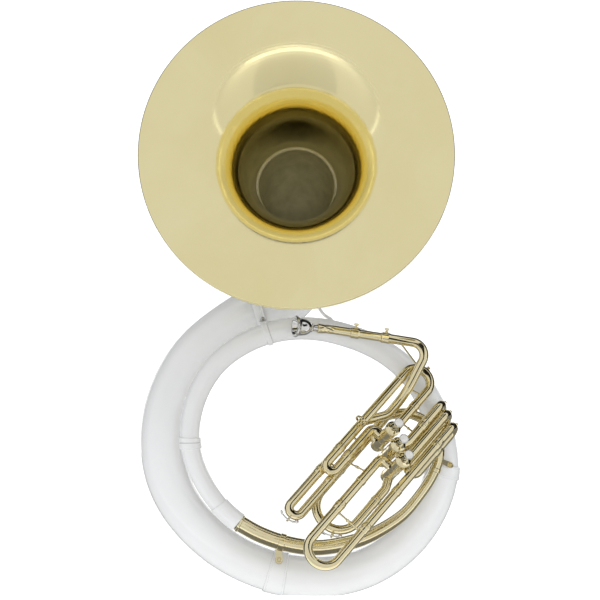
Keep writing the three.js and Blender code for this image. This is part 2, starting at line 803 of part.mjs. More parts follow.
function branch() {
  const startAngle = 230.25 * degrees;
  const start = vec(Math.cos(startAngle), 0, Math.sin(startAngle)).multiplyScalar(233).add(ringCentre);
  start.y = -37;
  const points = [
    [-98.3, -38, -425],
    [-32.8, -40, -446.6],
    [28.3, -42, -453.4],
    [98.1, -42, -442.1],
    [146.1, -41, -424.7],
    [211.6, -39, -383.4],
    [249.2, -38, -340.4],
    [275, -39, -301.5],
    [289.1, -40, -268.7],
    [293.5, -39, -240.4],
    [290.4, -35.5, -210],
    [277.5, -32, -190.5],
    [260, -31, -175.3],
    [240.2, -34, -165.3],
    [218.2, -40, -159.2],
    [198.3, -48, -161.5],
  ].map(([x, y, z]) => vec(x, y, z));
  const route = smoothRoute([start, ...points, place(78, ...wideLeft), place(66, ...wideLeft)], 21);
  route[0].tangent.set(-Math.sin(startAngle), 0, Math.cos(startAngle));
  const taper = routeLength(route);
  route.push({ point: place(branchSlide.end, ...wideLeft), tangent: tubeAxis.clone().negate() });
  const length = routeLength(route);
  const startRadius = 18.5;
  const ferrules = [
    { at: 104, half: 7, proud: 2 },
    { at: 508, half: 5, proud: 1.6 },
  ];
  const radius = (distance) => {
    const share = Math.min(1, distance / taper);
    const slim = 0.42 * THREE.MathUtils.smoothstep(share, 0.3, 0.62) + 0.58 * share;
    return THREE.MathUtils.lerp(startRadius, tubeRadius, slim);
  };
  const outer = (distance) =>
    radius(distance) +
    ferrules.reduce((sum, { at, half, proud }) => sum + (Math.abs(distance - at) < half ? proud : 0), 0);
  const boreEnd = length - roomFor(branchSlide);
  const inner = (distance) => (distance > boreEnd ? sleeveBore : radius(distance) - 1.4);
  const up = vec(0, -1, 0);
  const steps = ferrules.flatMap(({ at, half }) => [at - half, at + half]);
  const body = tube(route, outer, inner, { up, steps: [...steps, boreEnd] });

  // Two brackets tie the branch to the fibreglass, each with a screw through its plate.
  const front = vec(0, -1, 0);
  const lowerScrew = vec(-57, -24.5, -481);
  const upperFrom = vec(293, -40, -262);
  const upperTo = vec(323, -13, -277);
  const upperFacing = front.clone().projectOnPlane(upperTo.clone().sub(upperFrom).normalize()).normalize();
  const upperScrew = upperTo.clone().lerp(upperFrom, 0.17).addScaledVector(upperFacing, 1.5);
  const insideBranch = tube(route, (distance) => radius(distance) - 0.7, 0, { up });
  const clear = (to, rise = 0) => ({ to, outer: rise + 0.6 });
  const fibreglass = [
    spiralTube(20, [clear(-9.5), clear(-16, collarRise), clear(-30)]),
    spiralTube(-80, [clear(-98), clear(-107, collarRise), clear(-120)]),
  ];
  const pieces = [
    arm(vec(-57, -23, -436), vec(-57, -23, -491), 17, front),
    rod(lowerScrew.clone().add(vec(0, 1, 0)), vec(-57, 40, -481), 4.5, 8),
    arm(upperFrom, upperTo, 13, upperFacing),
    rod(upperScrew.clone().addScaledVector(upperFacing, -3.2), upperScrew.clone().add(vec(0, 24, 0)), 4.5, 8),
  ];
  const hardware = cut(join(...pieces.slice(0, 2)), insideBranch, ...fibreglass);
  const upperHardware = cut(join(...pieces.slice(2)), insideBranch, ...fibreglass);
  const screwSpots = [
    ["lower", lowerScrew, front],
    ["upper", upperScrew, upperFacing],
  ];
  const holes = screwSpots.map(([name, at, facing]) => {
    const above = (distance) => at.clone().addScaledVector(facing, distance);
    const screw = join(
      rod(above(gap), above(3.4), 5.5, 10),
      rod(above(3), above(6.4), 4, 10),
      rod(above(-6), above(1), 2),
    );
    add(name + "_bracket_screw", screw, brass());
    return rod(above(-7), above(1), 2 + gap);
  });
  add("branch", cut(join(body, hardware, upperHardware), ...holes), brass());
}

// ---- Mouthpiece, bits and mouthpipe ----
const rimCentre = vec(-22.7, -89.95, 30.28);
const mouthpieceAxis = vec(-0.936, -0.342, 0.087).normalize(); // out of the cup
const mouthpieceLength = 53;
const pipeCorner = vec(271.9, -84, -10.5);
const bitCorner = rimCentre.clone().addScaledVector(mouthpieceAxis, -(mouthpieceLength + 34));
const pipeLine = pipeCorner.clone().sub(bitCorner).normalize();
const onPipe = (x) => bitCorner.clone().addScaledVector(pipeLine, (x - bitCorner.x) / pipeLine.x);

function mouthpieceAndPipes() {
  const shankRadius = 6.6;
  const shankTip = -mouthpieceLength - 13;
  const profile = [
    [8.5, -14],
    [14.5, -6],
    [18.5, 0],
    [21.5, 0],
    [23.6, -1.8],
    [23.2, -5],
    [20, -10],
    [18.5, -20],
    [16, -30],
    [10, -38],
    [shankRadius, -42],
    [shankRadius, shankTip],
    [4.6, shankTip],
    [4.2, -30],
    [8.5, -14],
  ];
  add("mouthpiece", standing(turned([...profile].reverse(), 16), rimCentre, mouthpieceAxis), silver());

  // Each bit has a socket that takes the piece before it, clamped by a thumb screw.
  const up = vec(0, 0, 1);
  const bitRadius = 9.4;
  const bitBore = 7.4;
  const tenon = 15;
  const firstJoint = 101;
  const secondJoint = 167;
  const socketLength = tenon + 4;
  const socketRadius = 12;
  const socketBore = bitRadius + 1.1;
  const shankEnd = rimCentre.clone().addScaledVector(mouthpieceAxis, -mouthpieceLength);
  const firstRoute = bentRoute([shankEnd, bitCorner, onPipe(firstJoint + tenon)], [34], 15 * degrees);
  const firstOuter = (distance) => (distance < 14 ? 10.4 : bitRadius);
  const firstBit = tube(firstRoute, firstOuter, bitBore, { up, steps: [14] });
  add("first_bit", firstBit, brass());

  const screws = [firstJoint, secondJoint].map((x, i) => {
    const facing = up.clone().projectOnPlane(pipeLine).normalize();
    const at = onPipe(x + 8).addScaledVector(facing, socketRadius);
    const hole = screwHole(at, facing);
    add("bit_screw_" + (i + 1), thumbScrew(at.addScaledVector(facing, gap), facing, 2.2), silver());
    return hole;
  });
  const socketSteps = [tenon + gap, socketLength];
  const secondRoute = bentRoute([onPipe(firstJoint), onPipe(secondJoint + tenon)], []);
  const secondBit = tube(
    secondRoute,
    (distance) => (distance < socketLength ? socketRadius : bitRadius),
    (distance) => (distance < tenon + gap ? socketBore : bitBore),
    { up, steps: socketSteps },
  );
  add("second_bit", cut(secondBit, screws[0]), brass());

  // The mouthpipe turns down in front of the top bow and runs into leg C of the main slide.
  const run = [
    onPipe(secondJoint),
    pipeCorner,
    vec(225.5, -75, -102.6),
    place(112, 57, -22),
    place(72, 57, -24.5),
    place(22, 88, -24),
    place(mainSlide.end, ...legC),
  ];
  const pipeRoute = bentRoute(run, [28, 160, 50, 34, 34]);
  const length = routeLength(pipeRoute);
  const boreEnd = length - roomFor(mainSlide);
  const innerAt = (distance) => {
    if (distance < tenon + gap) return socketBore;
    return distance > boreEnd ? sleeveBore : tubeBore;
  };
  const pipe = tube(
    pipeRoute,
    (distance) => (distance < socketLength ? socketRadius : tubeRadius),
    innerAt,
    { up, steps: [...socketSteps, boreEnd] },
  );
  const strut = cut(
    rod(onPipe(202), vec(247, -80, -60), 1.6, 6),
    tube(pipeRoute, surface, 0, { up }),
  );
  add("mouthpipe", cut(join(pipe, strut), screws[1]), brass());
}

function thumbRing() {
  const inner = 12;
  const reach = tubeRadius + inner + 2.4;
  const lean = 80 * degrees;
  const centre = place(1, legA[0] + reach * Math.cos(lean), legA[1] + reach * Math.sin(lean));
  add("thumb_ring", standing(turned(band(inner, inner + 2, -2.6, 2.6), 18), centre, tubeAxis), brass());
}

fibreglassBody();
neckAndBellCollar();
bell();
firstValveTubes();
throughTubes();
thirdValveTubes();
secondValveTubes();
slides();
valves();
branch();
mouthpieceAndPipes();
thumbRing();
waterKey("main_water_key", legC, legD, mainSlide, 222, 148);
waterKey("branch_water_key", wideLeft, wideRight, branchSlide, 222, 190);

export default group;
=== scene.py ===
import math
import bmesh
import bpy
from mathutils import Matrix, Quaternion, Vector


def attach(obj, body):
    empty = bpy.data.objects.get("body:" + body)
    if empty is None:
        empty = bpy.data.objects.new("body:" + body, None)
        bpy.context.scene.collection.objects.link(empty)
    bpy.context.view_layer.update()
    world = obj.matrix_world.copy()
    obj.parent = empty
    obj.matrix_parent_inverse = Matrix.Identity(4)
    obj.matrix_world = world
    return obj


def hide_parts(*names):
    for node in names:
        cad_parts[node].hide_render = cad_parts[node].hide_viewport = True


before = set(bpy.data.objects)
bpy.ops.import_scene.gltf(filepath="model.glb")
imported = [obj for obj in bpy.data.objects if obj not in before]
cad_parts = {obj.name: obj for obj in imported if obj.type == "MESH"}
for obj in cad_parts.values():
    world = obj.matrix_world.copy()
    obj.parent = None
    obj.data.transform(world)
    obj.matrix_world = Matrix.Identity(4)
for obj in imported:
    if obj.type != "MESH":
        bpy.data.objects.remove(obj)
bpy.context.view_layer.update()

SIDES = 36  # round a tube
STEP = 6  # degrees of bend between two rings of a tube


def V(*c):
    return Vector(c)


def rad(d):
    return math.radians(d)


# ---------------------------------------------------------------- materials
def new_material(name):
    m = bpy.data.materials.new(name)
    m.use_nodes = True
    nodes, links = m.node_tree.nodes, m.node_tree.links
    return m, nodes, links, nodes["Principled BSDF"]


def noise(nodes, links, coords, scale, detail=3.0, roughness=0.55, distortion=0.0):
    n = nodes.new("ShaderNodeTexNoise")
    n.inputs["Scale"].default_value = scale
    n.inputs["Detail"].default_value = detail
    n.inputs["Roughness"].default_value = roughness
    n.inputs["Distortion"].default_value = distortion
    links.new(coords, n.inputs["Vector"])
    return n.outputs["Fac"]


def ramp(nodes, links, fac, stops):
    r = nodes.new("ShaderNodeValToRGB")
    while len(r.color_ramp.elements) < len(stops):
        r.color_ramp.elements.new(0.5)
    for element, (at, color) in zip(r.color_ramp.elements, stops):
        element.position = at
        element.color = (*color, 1)
    links.new(fac, r.inputs["Fac"])
    return r.outputs["Color"]


def spread(nodes, links, fac, low, high, from_low=0.3, from_high=0.7):
    r = nodes.new("ShaderNodeMapRange")
    r.inputs["From Min"].default_value = from_low
    r.inputs["From Max"].default_value = from_high
    r.inputs["To Min"].default_value = low
    r.inputs["To Max"].default_value = high
    links.new(fac, r.inputs["Value"])
    return r.outputs["Result"]


def bump(nodes, links, shader, height, strength, distance):
    b = nodes.new("ShaderNodeBump")
    b.inputs["Strength"].default_value = strength
    b.inputs["Distance"].default_value = distance
    links.new(height, b.inputs["Height"])
    links.new(b.outputs["Normal"], shader.inputs["Normal"])


def metal_material(name, tones, rough, wave=0.05, smear=9.0, coat=0.0):
    m, nodes, links, shader = new_material(name)
    coords = nodes.new("ShaderNodeTexCoord").outputs["Object"]
    broad = noise(nodes, links, coords, smear, 4.0, 0.6, 0.4)
    links.new(ramp(nodes, links, broad, [(0.3, tones[0]), (0.7, tones[1])]), shader.inputs["Base Color"])
    fine = noise(nodes, links, coords, smear * 14, 5.0, 0.7)
    links.new(spread(nodes, links, fine, *rough), shader.inputs["Roughness"])
    shader.inputs["Metallic"].default_value = 1.0
    shader.inputs["Coat Weight"].default_value = coat
    shader.inputs["Coat Roughness"].default_value = 0.05
    bump(nodes, links, shader, noise(nodes, links, coords, smear * 3, 2.0), wave, 0.0006)
    return m


def plain_material(name, tones, rough, scale=30.0, height=0.1, coat=0.0, distance=0.0004):
    m, nodes, links, shader = new_material(name)
    coords = nodes.new("ShaderNodeTexCoord").outputs["Object"]
    tone = noise(nodes, links, coords, scale, 4.0)
    links.new(ramp(nodes, links, tone, [(0.3, tones[0]), (0.7, tones[1])]), shader.inputs["Base Color"])
    fine = noise(nodes, links, coords, scale * 6, 3.0)
    links.new(spread(nodes, links, fine, *rough), shader.inputs["Roughness"])
    shader.inputs["Coat Weight"].default_value = coat
    shader.inputs["Coat Roughness"].default_value = 0.04
    bump(nodes, links, shader, noise(nodes, links, coords, scale * 2, 2.0), height, distance)
    return m


def bell_material():
    """Spun sheet: faint rings left by the spinning tool, under lacquer."""
    m, nodes, links, shader = new_material("bell_brass")
    coords = nodes.new("ShaderNodeTexCoord").outputs["Object"]
    about = nodes.new("ShaderNodeMapping")
    about.vector_type = "TEXTURE"
    about.inputs["Location"].default_value = tuple(c * 0.001 for c in bell_centre)
    about.inputs["Rotation"].default_value = (bell_tilt, 0, 0)
    links.new(coords, about.inputs["Vector"])
    flat = nodes.new("ShaderNodeVectorMath")
    flat.operation = "MULTIPLY"
    flat.inputs[1].default_value = (1, 0, 1)
    links.new(about.outputs["Vector"], flat.inputs[0])
    reach = nodes.new("ShaderNodeVectorMath")
    reach.operation = "LENGTH"
    links.new(flat.outputs["Vector"], reach.inputs[0])
    broad = noise(nodes, links, coords, 5.0, 4.0, 0.6, 0.5)
    tones = [(0.3, (0.92, 0.82, 0.45)), (0.7, (0.96, 0.87, 0.52))]
    links.new(ramp(nodes, links, broad, tones), shader.inputs["Base Color"])
    fine = noise(nodes, links, coords, 140.0, 5.0, 0.7)
    links.new(spread(nodes, links, fine, 0.085, 0.15), shader.inputs["Roughness"])
    shader.inputs["Metallic"].default_value = 1.0
    waves = nodes.new("ShaderNodeMath")
    waves.operation = "SINE"
    scaled = nodes.new("ShaderNodeMath")
    scaled.operation = "MULTIPLY"
    scaled.inputs[1].default_value = 900.0
    links.new(reach.outputs["Value"], scaled.inputs[0])
    links.new(scaled.outputs["Value"], waves.inputs[0])
    both = nodes.new("ShaderNodeMath")
    both.operation = "MULTIPLY_ADD"
    both.inputs[1].default_value = 0.25
    links.new(waves.outputs["Value"], both.inputs[0])
    links.new(noise(nodes, links, coords, 11.0, 2.0), both.inputs[2])
    bump(nodes, links, shader, both.outputs["Value"], 0.06, 0.0008)
    return m


# ---------------------------------------------------------------- shapes
class Shape:
    """Closed skins gathered into one mesh. Each add() names the material of its faces."""

    def __init__(self):
        self.verts, self.faces, self.marks, self.materials = [], [], [], []

    def add(self, skin, material):
        verts, faces, *marks = skin
        if material not in self.materials:
            self.materials.append(material)
        first = len(self.verts)
        own = self.materials.index(material)
        self.verts += verts
        self.faces += [[first + i for i in face] for face in faces]
        if marks and marks[0][1] not in self.materials:
            self.materials.append(marks[0][1])
        for i in range(len(faces)):
            inside = marks and i in marks[0][0]
            self.marks.append(self.materials.index(marks[0][1]) if inside else own)
        return self


def build(name, shape, body, replaces=(), sharp=32):
    mesh = bpy.data.meshes.new(name)
    mesh.from_pydata([v * 0.001 for v in shape.verts], [], shape.faces)
    for material in shape.materials:
        mesh.materials.append(material)
    mesh.polygons.foreach_set("material_index", shape.marks)
    work = bmesh.new()
    work.from_mesh(mesh)
    bmesh.ops.recalc_face_normals(work, faces=work.faces)
    work.to_mesh(mesh)
    work.free()
    mesh.shade_smooth()
    mesh.set_sharp_from_angle(angle=rad(sharp))
    obj = bpy.data.objects.new(name, mesh)
    bpy.context.scene.collection.objects.link(obj)
    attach(obj, body)
    if replaces:
        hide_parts(*replaces)
    return obj


def loft(rings, ends="caps"):
    """Rings of equally many points, joined in turn. ends: caps, or loop when the last meets the first."""
    count = len(rings[0])
    verts = [p for ring in rings for p in ring]
    faces = []
    spans = len(rings) if ends == "loop" else len(rings) - 1
    for i in range(spans):
        here, there = i * count, ((i + 1) % len(rings)) * count
        for k in range(count):
            n = (k + 1) % count
            faces.append([here + k, here + n, there + n, there + k])
    if ends == "caps":
        last = (len(rings) - 1) * count
        faces.append(list(range(count))[::-1])
        faces.append([last + k for k in range(count)])
    return verts, faces


def lathe(profile, at, axis, segments=None, flutes=None):
    """[radius, height] rows turned about an axis. A closed profile repeats its first row; an open one
    starts and ends on the axis. flutes: (rows, how many, how deep) cuts grooves along those rows."""
    segments = segments or (56)
    z = axis.normalized()
    x = z.orthogonal().normalized()
    y = z.cross(x)
    closed = profile[0] == profile[-1]
    rows = profile[:-1] if closed else profile
    verts, faces, starts = [], [], []
    for i, (radius, height) in enumerate(rows):
        starts.append(len(verts))
        if radius < 1e-6:
            verts.append(at + z * height)
            continue
        for k in range(segments):
            turn = 2 * math.pi * k / segments
            r = radius
            if flutes and i in flutes[0]:
                r -= flutes[2] * (0.5 + 0.5 * math.cos(flutes[1] * turn))
            verts.append(at + x * (r * math.cos(turn)) + y * (r * math.sin(turn)) + z * height)
    total = len(rows)
    for i in range(total if closed else total - 1):
        a, b = i, (i + 1) % total
        pole_a, pole_b = rows[a][0] < 1e-6, rows[b][0] < 1e-6
        for k in range(segments):
            n = (k + 1) % segments
            if pole_a and pole_b:
                continue
            if pole_a:
                faces.append([starts[a], starts[b] + k, starts[b] + n])
            elif pole_b:
                faces.append([starts[a] + k, starts[b], starts[a] + n])
            else:
                faces.append([starts[a] + k, starts[a] + n, starts[b] + n, starts[b] + k])
    return verts, faces


def hoop(at, axis, inner, outer, low, high, edge=0.8, segments=None):
    """A band with eased outer edges."""
    e = min(edge, (high - low) / 3, (outer - inner) / 1.2)
    rows = [(inner, low), (outer - e, low), (outer - 0.3 * e, low + 0.3 * e), (outer, low + e)]
    rows += [
        (outer, high - e), (outer - 0.3 * e, high - 0.3 * e), (outer - e, high), (inner, high), (inner, low)
    ]
    return lathe(rows, at, axis, segments)


def rod(a, b, radius, segments=16, edge=0.3):
    d = b - a
    length = d.length
    e = min(edge, length / 3)
    rows = [(0, 0), (radius - e, 0), (radius, e), (radius, length - e), (radius - e, length), (0, length)]
    return lathe(rows, a, d, segments)


def ball(at, radius, axis=None, squash=1.0, segments=20):
    rows = []
    for k in range(9):
        turn = -math.pi / 2 + math.pi * k / 8
        r = radius * math.cos(turn)
        rows.append((0 if k in (0, 8) else r, squash * radius * math.sin(turn)))
    return lathe(rows, at, axis or V(0, 0, 1), segments)


def bent_route(corners, bends, step=None):
    step = step or STEP
    route = [(corners[0], (corners[1] - corners[0]).normalized())]
    for i in range(1, len(corners) - 1):
        back = (corners[i - 1] - corners[i]).normalized()
        onward = (corners[i + 1] - corners[i]).normalized()
        turn = math.pi - back.angle(onward)
        radius = bends[i - 1]
        centre = corners[i] + (back + onward).normalized() * (radius / math.cos(turn / 2))
        reach = radius * math.tan(turn / 2)
        start = corners[i] + back * reach - centre
        end = corners[i] + onward * reach - centre
        axis = start.cross(end).normalized()
        count = max(1, round(math.degrees(turn) / step))
        for k in range(count + 1):
            q = Quaternion(axis, turn * k / count)
            route.append((centre + q @ start, q @ (-back)))
    route.append((corners[-1], (corners[-1] - corners[-2]).normalized()))
    kept = [route[0]]
    for spot in route[1:]:
        if (spot[0] - kept[-1][0]).length > 0.05:
            kept.append(spot)
    return kept


def smooth_route(points, count):
    """A centripetal curve through points, as evenly spaced places."""
    fine = []
    pts = [points[0] * 2 - points[1], *points, points[-1] * 2 - points[-2]]
    for i in range(1, len(pts) - 2):
        p0, p1, p2, p3 = pts[i - 1 : i + 3]
        d0, d1, d2 = ((b - a).length ** 0.5 for a, b in ((p0, p1), (p1, p2), (p2, p3)))
        t1 = ((p1 - p0) / d0 - (p2 - p0) / (d0 + d1) + (p2 - p1) / d1) * d1
        t2 = ((p2 - p1) / d1 - (p3 - p1) / (d1 + d2) + (p3 - p2) / d2) * d1
        for k in range(40):
            s = k / 40
            h = (2 * s**3 - 3 * s**2 + 1, s**3 - 2 * s**2 + s, 3 * s**2 - 2 * s**3, s**3 - s**2)
            fine.append(p1 * h[0] + t1 * h[1] + p2 * h[2] + t2 * h[3])
    fine.append(points[-1])
    ways = [0.0]
    for a, b in zip(fine, fine[1:]):
        ways.append(ways[-1] + (b - a).length)
    spots, j = [], 0
    for k in range(count + 1):
        want = ways[-1] * k / count
        while j < len(fine) - 2 and ways[j + 1] < want:
            j += 1
        share = (want - ways[j]) / max(1e-9, ways[j + 1] - ways[j])
        spots.append(fine[j].lerp(fine[j + 1], share))
    route = []
    for k, p in enumerate(spots):
        before, after = spots[max(0, k - 1)], spots[min(count, k + 1)]
        route.append((p, (after - before).normalized()))
    return route


def route_length(route):
    return sum((b[0] - a[0]).length for a, b in zip(route, route[1:]))


def spot_on(route, distance):
    """The place and direction at a distance along a route."""
    for (a, t), (b, _) in zip(route, route[1:]):
        leg = (b - a).length
        if distance <= leg:
            return a.lerp(b, distance / leg), (b - a).normalized()
        distance -= leg
    return route[-1]


def read(rows, distance):
    """A radius at a distance: a number, a function, or [distance, radius] rows."""
    if callable(rows):
        return rows(distance)
    if isinstance(rows, (int, float)):
        return rows
    if distance <= rows[0][0]:
        return rows[0][1]
    for (a, ra), (b, rb) in zip(rows, rows[1:]):
        if distance <= b:
            return ra + (rb - ra) * (distance - a) / max(1e-9, b - a)
    return rows[-1][1]


def tube(route, outer, inner=0, up=None, sides=None, breaks=(), lining=None):
    """A tube along a route. breaks are more distances that get a ring. A lining is the material inside."""
    sides = sides or SIDES
    up = up or valve_axis
    marks = set(breaks)
    for rows in (outer, inner):
        if isinstance(rows, list):
            marks |= {d for d, _ in rows}
    places, length = [], 0.0
    for i, (point, tangent) in enumerate(route):
        if i:
            before = route[i - 1][0]
            leg = (point - before).length
            for d in sorted(m for m in marks if length + 0.02 < m < length + leg - 0.02):
                places.append((before.lerp(point, (d - length) / leg), route[i - 1][1], d))
            length += leg
        places.append((point, tangent, length))
    normal = (up - places[0][1] * up.dot(places[0][1])).normalized()
    outside, inside = [], []
    for i, (point, tangent, distance) in enumerate(places):
        if i:
            normal = places[i - 1][1].rotation_difference(tangent) @ normal
        across = tangent.cross(normal)
        ro, ri = read(outer, distance), read(inner, distance)
        turns = [2 * math.pi * k / sides for k in range(sides)]
        outside.append([point + normal * (ro * math.cos(t)) + across * (ro * math.sin(t)) for t in turns])
        inside.append([point + normal * (ri * math.cos(t)) + across * (ri * math.sin(t)) for t in turns])
    if not read(inner, 0):
        return loft(outside)
    verts, faces = loft(outside + inside[::-1], "loop")
    if lining is None:
        return verts, faces
    first = (len(outside) - 1) * sides
    return verts, faces, ({*range(first, len(faces))}, lining)


def plate(outline, at, across, up, thick, edge=0.5):
    """A flat plate with eased edges: outline points are (across, up) pairs, thickness is about at."""
    normal = across.cross(up).normalized()
    middle = [sum(p[i] for p in outline) / len(outline) for i in (0, 1)]
    rings = []
    for inset, height in (
        (edge, -thick / 2), (0, -thick / 2 + edge), (0, thick / 2 - edge), (edge, thick / 2)
    ):
        ring = []
        for a, b in outline:
            reach = math.hypot(a - middle[0], b - middle[1])
            share = max(0.0, 1 - inset / reach)
            x, y = middle[0] + (a - middle[0]) * share, middle[1] + (b - middle[1]) * share
            ring.append(at + across * x + up * y + normal * height)
        rings.append(ring)
    return loft(rings)


# ---------------------------------------------------------------- the instrument's dimensions
tube_radius = 10.2
sleeve_bore = 9.7
slide_radius = 8.9
tube_bore = 8.2
gap = 0.3

bell_radius, bell_depth, tenon_radius, bell_wall = 330, 325, 88, 1
bell_centre = V(-18.5, -322, 392)
bell_tilt = rad(10)
bell_axis = V(0, -math.cos(bell_tilt), math.sin(bell_tilt))
ring_centre = V(4.2, 0, -220.6)
neck_joint = V(-105.6, 98, 65.5)

valve_origin = V(182.8, -132, -240.7)
valve_axis = V(0.244, -0.914, 0.325).normalized()
tube_axis = V(0.617, 0.404, 0.676)
tube_axis = (tube_axis - valve_axis * tube_axis.dot(valve_axis)).normalized()
side_axis = valve_axis.cross(tube_axis)
valve_places = [(19.7, 30.2), (0, 0), (-19.7, -30.2)]
casing_radius, casing_bore, casing_end = 14.2, 12.9, 62


def place(x, y, z):
    return valve_origin + tube_axis * x + side_axis * y + valve_axis * z


def valve_route(corners, bends):
    return bent_route([place(*c) for c in corners], bends)


BRASS = metal_material("lacquered_brass", ((0.88, 0.77, 0.47), (0.95, 0.86, 0.57)), (0.07, 0.15), 0.05)
BELL = bell_material()
INNER = metal_material("nickel_silver", ((0.70, 0.69, 0.64), (0.80, 0.78, 0.73)), (0.12, 0.22), 0.04)
SILVER = metal_material("silver_plate", ((0.78, 0.78, 0.76), (0.88, 0.87, 0.85)), (0.06, 0.14), 0.04)
STEEL = metal_material("screw_steel", ((0.52, 0.52, 0.53), (0.66, 0.66, 0.67)), (0.2, 0.34), 0.08, 20.0)
GEL = plain_material(
    "gel_coat", ((0.85, 0.86, 0.87), (0.89, 0.90, 0.91)), (0.10, 0.17), 6.0, 0.05, 0.6, 0.0008
)
DARK = plain_material("bare_fibreglass", ((0.34, 0.31, 0.17), (0.46, 0.42, 0.24)), (0.3, 0.5), 40.0, 0.4)
PEARL = plain_material("pearl", ((0.74, 0.73, 0.69), (0.90, 0.89, 0.87)), (0.08, 0.16), 260.0, 0.05, 0.8)
CORK = plain_material("cork", ((0.30, 0.17, 0.08), (0.50, 0.32, 0.17)), (0.75, 0.95), 420.0, 0.6)

# ---------------------------------------------------------------- fibreglass body
spiral = [
    (230, 233, -37, 39), (205, 242.6, -31, 41), (180, 256, -24, 43), (144, 259.7, -14, 46),
    (120, 252.4, -7, 48), (93, 245.6, 0, 49.5), (72, 245, 5, 51), (58, 250.8, 8, 52),
    (44, 260.9, 12, 53), (20, 281, 19, 58), (0, 295.7, 26, 66), (-12, 304.7, 30, 75),
    (-37, 312.9, 39, 82), (-64, 314, 48, 87), (-90, 306, 56, 91), (-113, 304.2, 63, 91),
    (-135, 309.6, 70, 92), (-160, 320.9, 78, 96), (-180, 321.3, 84, 99), (-216, 311.2, 93, 104),
    (-234, 303.6, 96, 106), (-249, 306.4, 98, 108),
]


def spiral_at(angle, column):
    row = next((i for i, r in enumerate(spiral) if r[0] <= angle), len(spiral) - 1)
    row = min(max(row, 1), len(spiral) - 1)
    rows = [spiral[min(max(i, 0), len(spiral) - 1)] for i in (row - 2, row - 1, row, row + 1)]
    span = rows[2][0] - rows[1][0]
    share = (angle - rows[1][0]) / span

    def slope(a, b):
        return (b[column] - a[column]) / ((b[0] - a[0]) or 1) * span

    cube, square = share**3, share**2
    return (
        (2 * cube - 3 * square + 1) * rows[1][column]
        + (cube - 2 * square + share) * slope(rows[0], rows[2])
        + (3 * square - 2 * cube) * rows[2][column]
        + (cube - square) * slope(rows[1], rows[3])
    )


def spiral_ring(angle, offset, sides):
    outward = V(math.cos(rad(angle)), 0, math.sin(rad(angle)))
    centre = ring_centre + outward * spiral_at(angle, 1)
    centre.y = spiral_at(angle, 2)
    radius = spiral_at(angle, 3) / 2 + offset
    ring = []
    for k in range(sides):
        turn = 2 * math.pi * k / sides
        ring.append(centre + outward * (radius * math.cos(turn)) + V(0, -radius * math.sin(turn), 0))
    return ring


def spiral_tube(start, end, rises=(), inner=-3.0, lining=None):
    """The ring's tube from one angle down to another. rises: (high angle, low angle, how proud, ease)."""
    sides = 56
    angles = {start, end}
    step = 2
    angle = math.floor(start / step) * step
    while angle > end:
        angles.add(angle)
        angle -= step
    for high, low, _, ease in rises:
        for a in (high, high - ease * 0.25, high - ease, low + ease, low + ease * 0.25, low):
            if end <= a <= start:
                angles.add(a)
                for side in (-1e-3, 1e-3):
                    if end < a + side < start:
                        angles.add(a + side)

    def offset(a):
        total = 0.0
        for high, low, proud, ease in rises:
            if low <= a <= high:
                near = min(high - a, a - low) / ease
                total += proud * min(1.0, math.sqrt(max(0.0, 1 - (1 - min(near, 1)) ** 2)))
        return total

    run = sorted(angles, reverse=True)
    outside = [spiral_ring(a, offset(a), sides) for a in run]
    inside = [spiral_ring(a, inner, sides) for a in run]
    verts, faces = loft(outside + inside[::-1], "loop")
    if lining is None:
        return verts, faces
    return verts, faces, ({*range((len(outside) - 1) * sides, len(faces) - sides)}, lining)


seam = 0.06
sections = [
    ("body_start_section", 230, 181, [(230, 216, 2.5, 0.3), (184, 181, 3, 0.3)]),
    ("body_left_section", 181 - seam, 109, [(181, 178.5, 3, 0.3), (112, 109, 3, 0.3)]),
    ("body_top_section", 109 - seam, -13, [(17.7, 17.3, -0.8, 0.1)]),
    ("body_right_section", -13 - seam, -102, []),
    ("body_large_section", -102 - seam, -249, []),
]
for name, start, end, rises in sections:
    build(
        name + "_shell", Shape().add(spiral_tube(start, end, rises, -3, DARK), GEL), "instrument",
        [name]
    )
for name, high, low in (("right_collar", -10.2, -15.3), ("bottom_collar", -98.6, -106.4)):
    shape = Shape().add(spiral_tube(high, low, [(high, low, 3, 0.35)], 0.1), GEL)
    middle = (high + low) / 2
    for a in (high - 0.9, low + 0.9):
        shape.add(spiral_tube(a + 0.12, a - 0.12, [(a + 0.12, a - 0.12, 3.5, 0.06)], 1.0), GEL)
    build(name + "_shell", shape, "instrument", [name])


# ---------------------------------------------------------------- screws
def wing_screw(shape, at, facing, material, depth=3, across=None, size=1.0):
    """A thumb screw: washer, waisted boss and a flat two-lobed wing."""
    side = across or facing.orthogonal().normalized()
    shape.add(rod(at - facing * depth, at + facing * 2, 2.5), material)
    rows = [
        (0, 0.3), (5.0, 0.3), (5.4, 0.8), (5.4, 1.6), (4.4, 2.1), (3.2, 3.2), (3.0, 5), (3.4, 6.6),
        (2.2, 7.6), (0, 7.8)
    ]
    rows = [(r * size, h * size) for r, h in rows]
    shape.add(lathe(rows, at, facing, 28), material)
    outline = []
    for k in range(36):
        t = 2 * math.pi * k / 36
        lobe = 7.6 * math.copysign(abs(math.cos(t)) ** 0.8, math.cos(t))
        tall = 9.5 + 4.3 * math.sin(t) * (0.75 + 0.25 * abs(math.cos(t)))
        outline.append((lobe * size, tall * size))
    shape.add(plate(outline, at, side, facing, 2.5, 0.7), material)


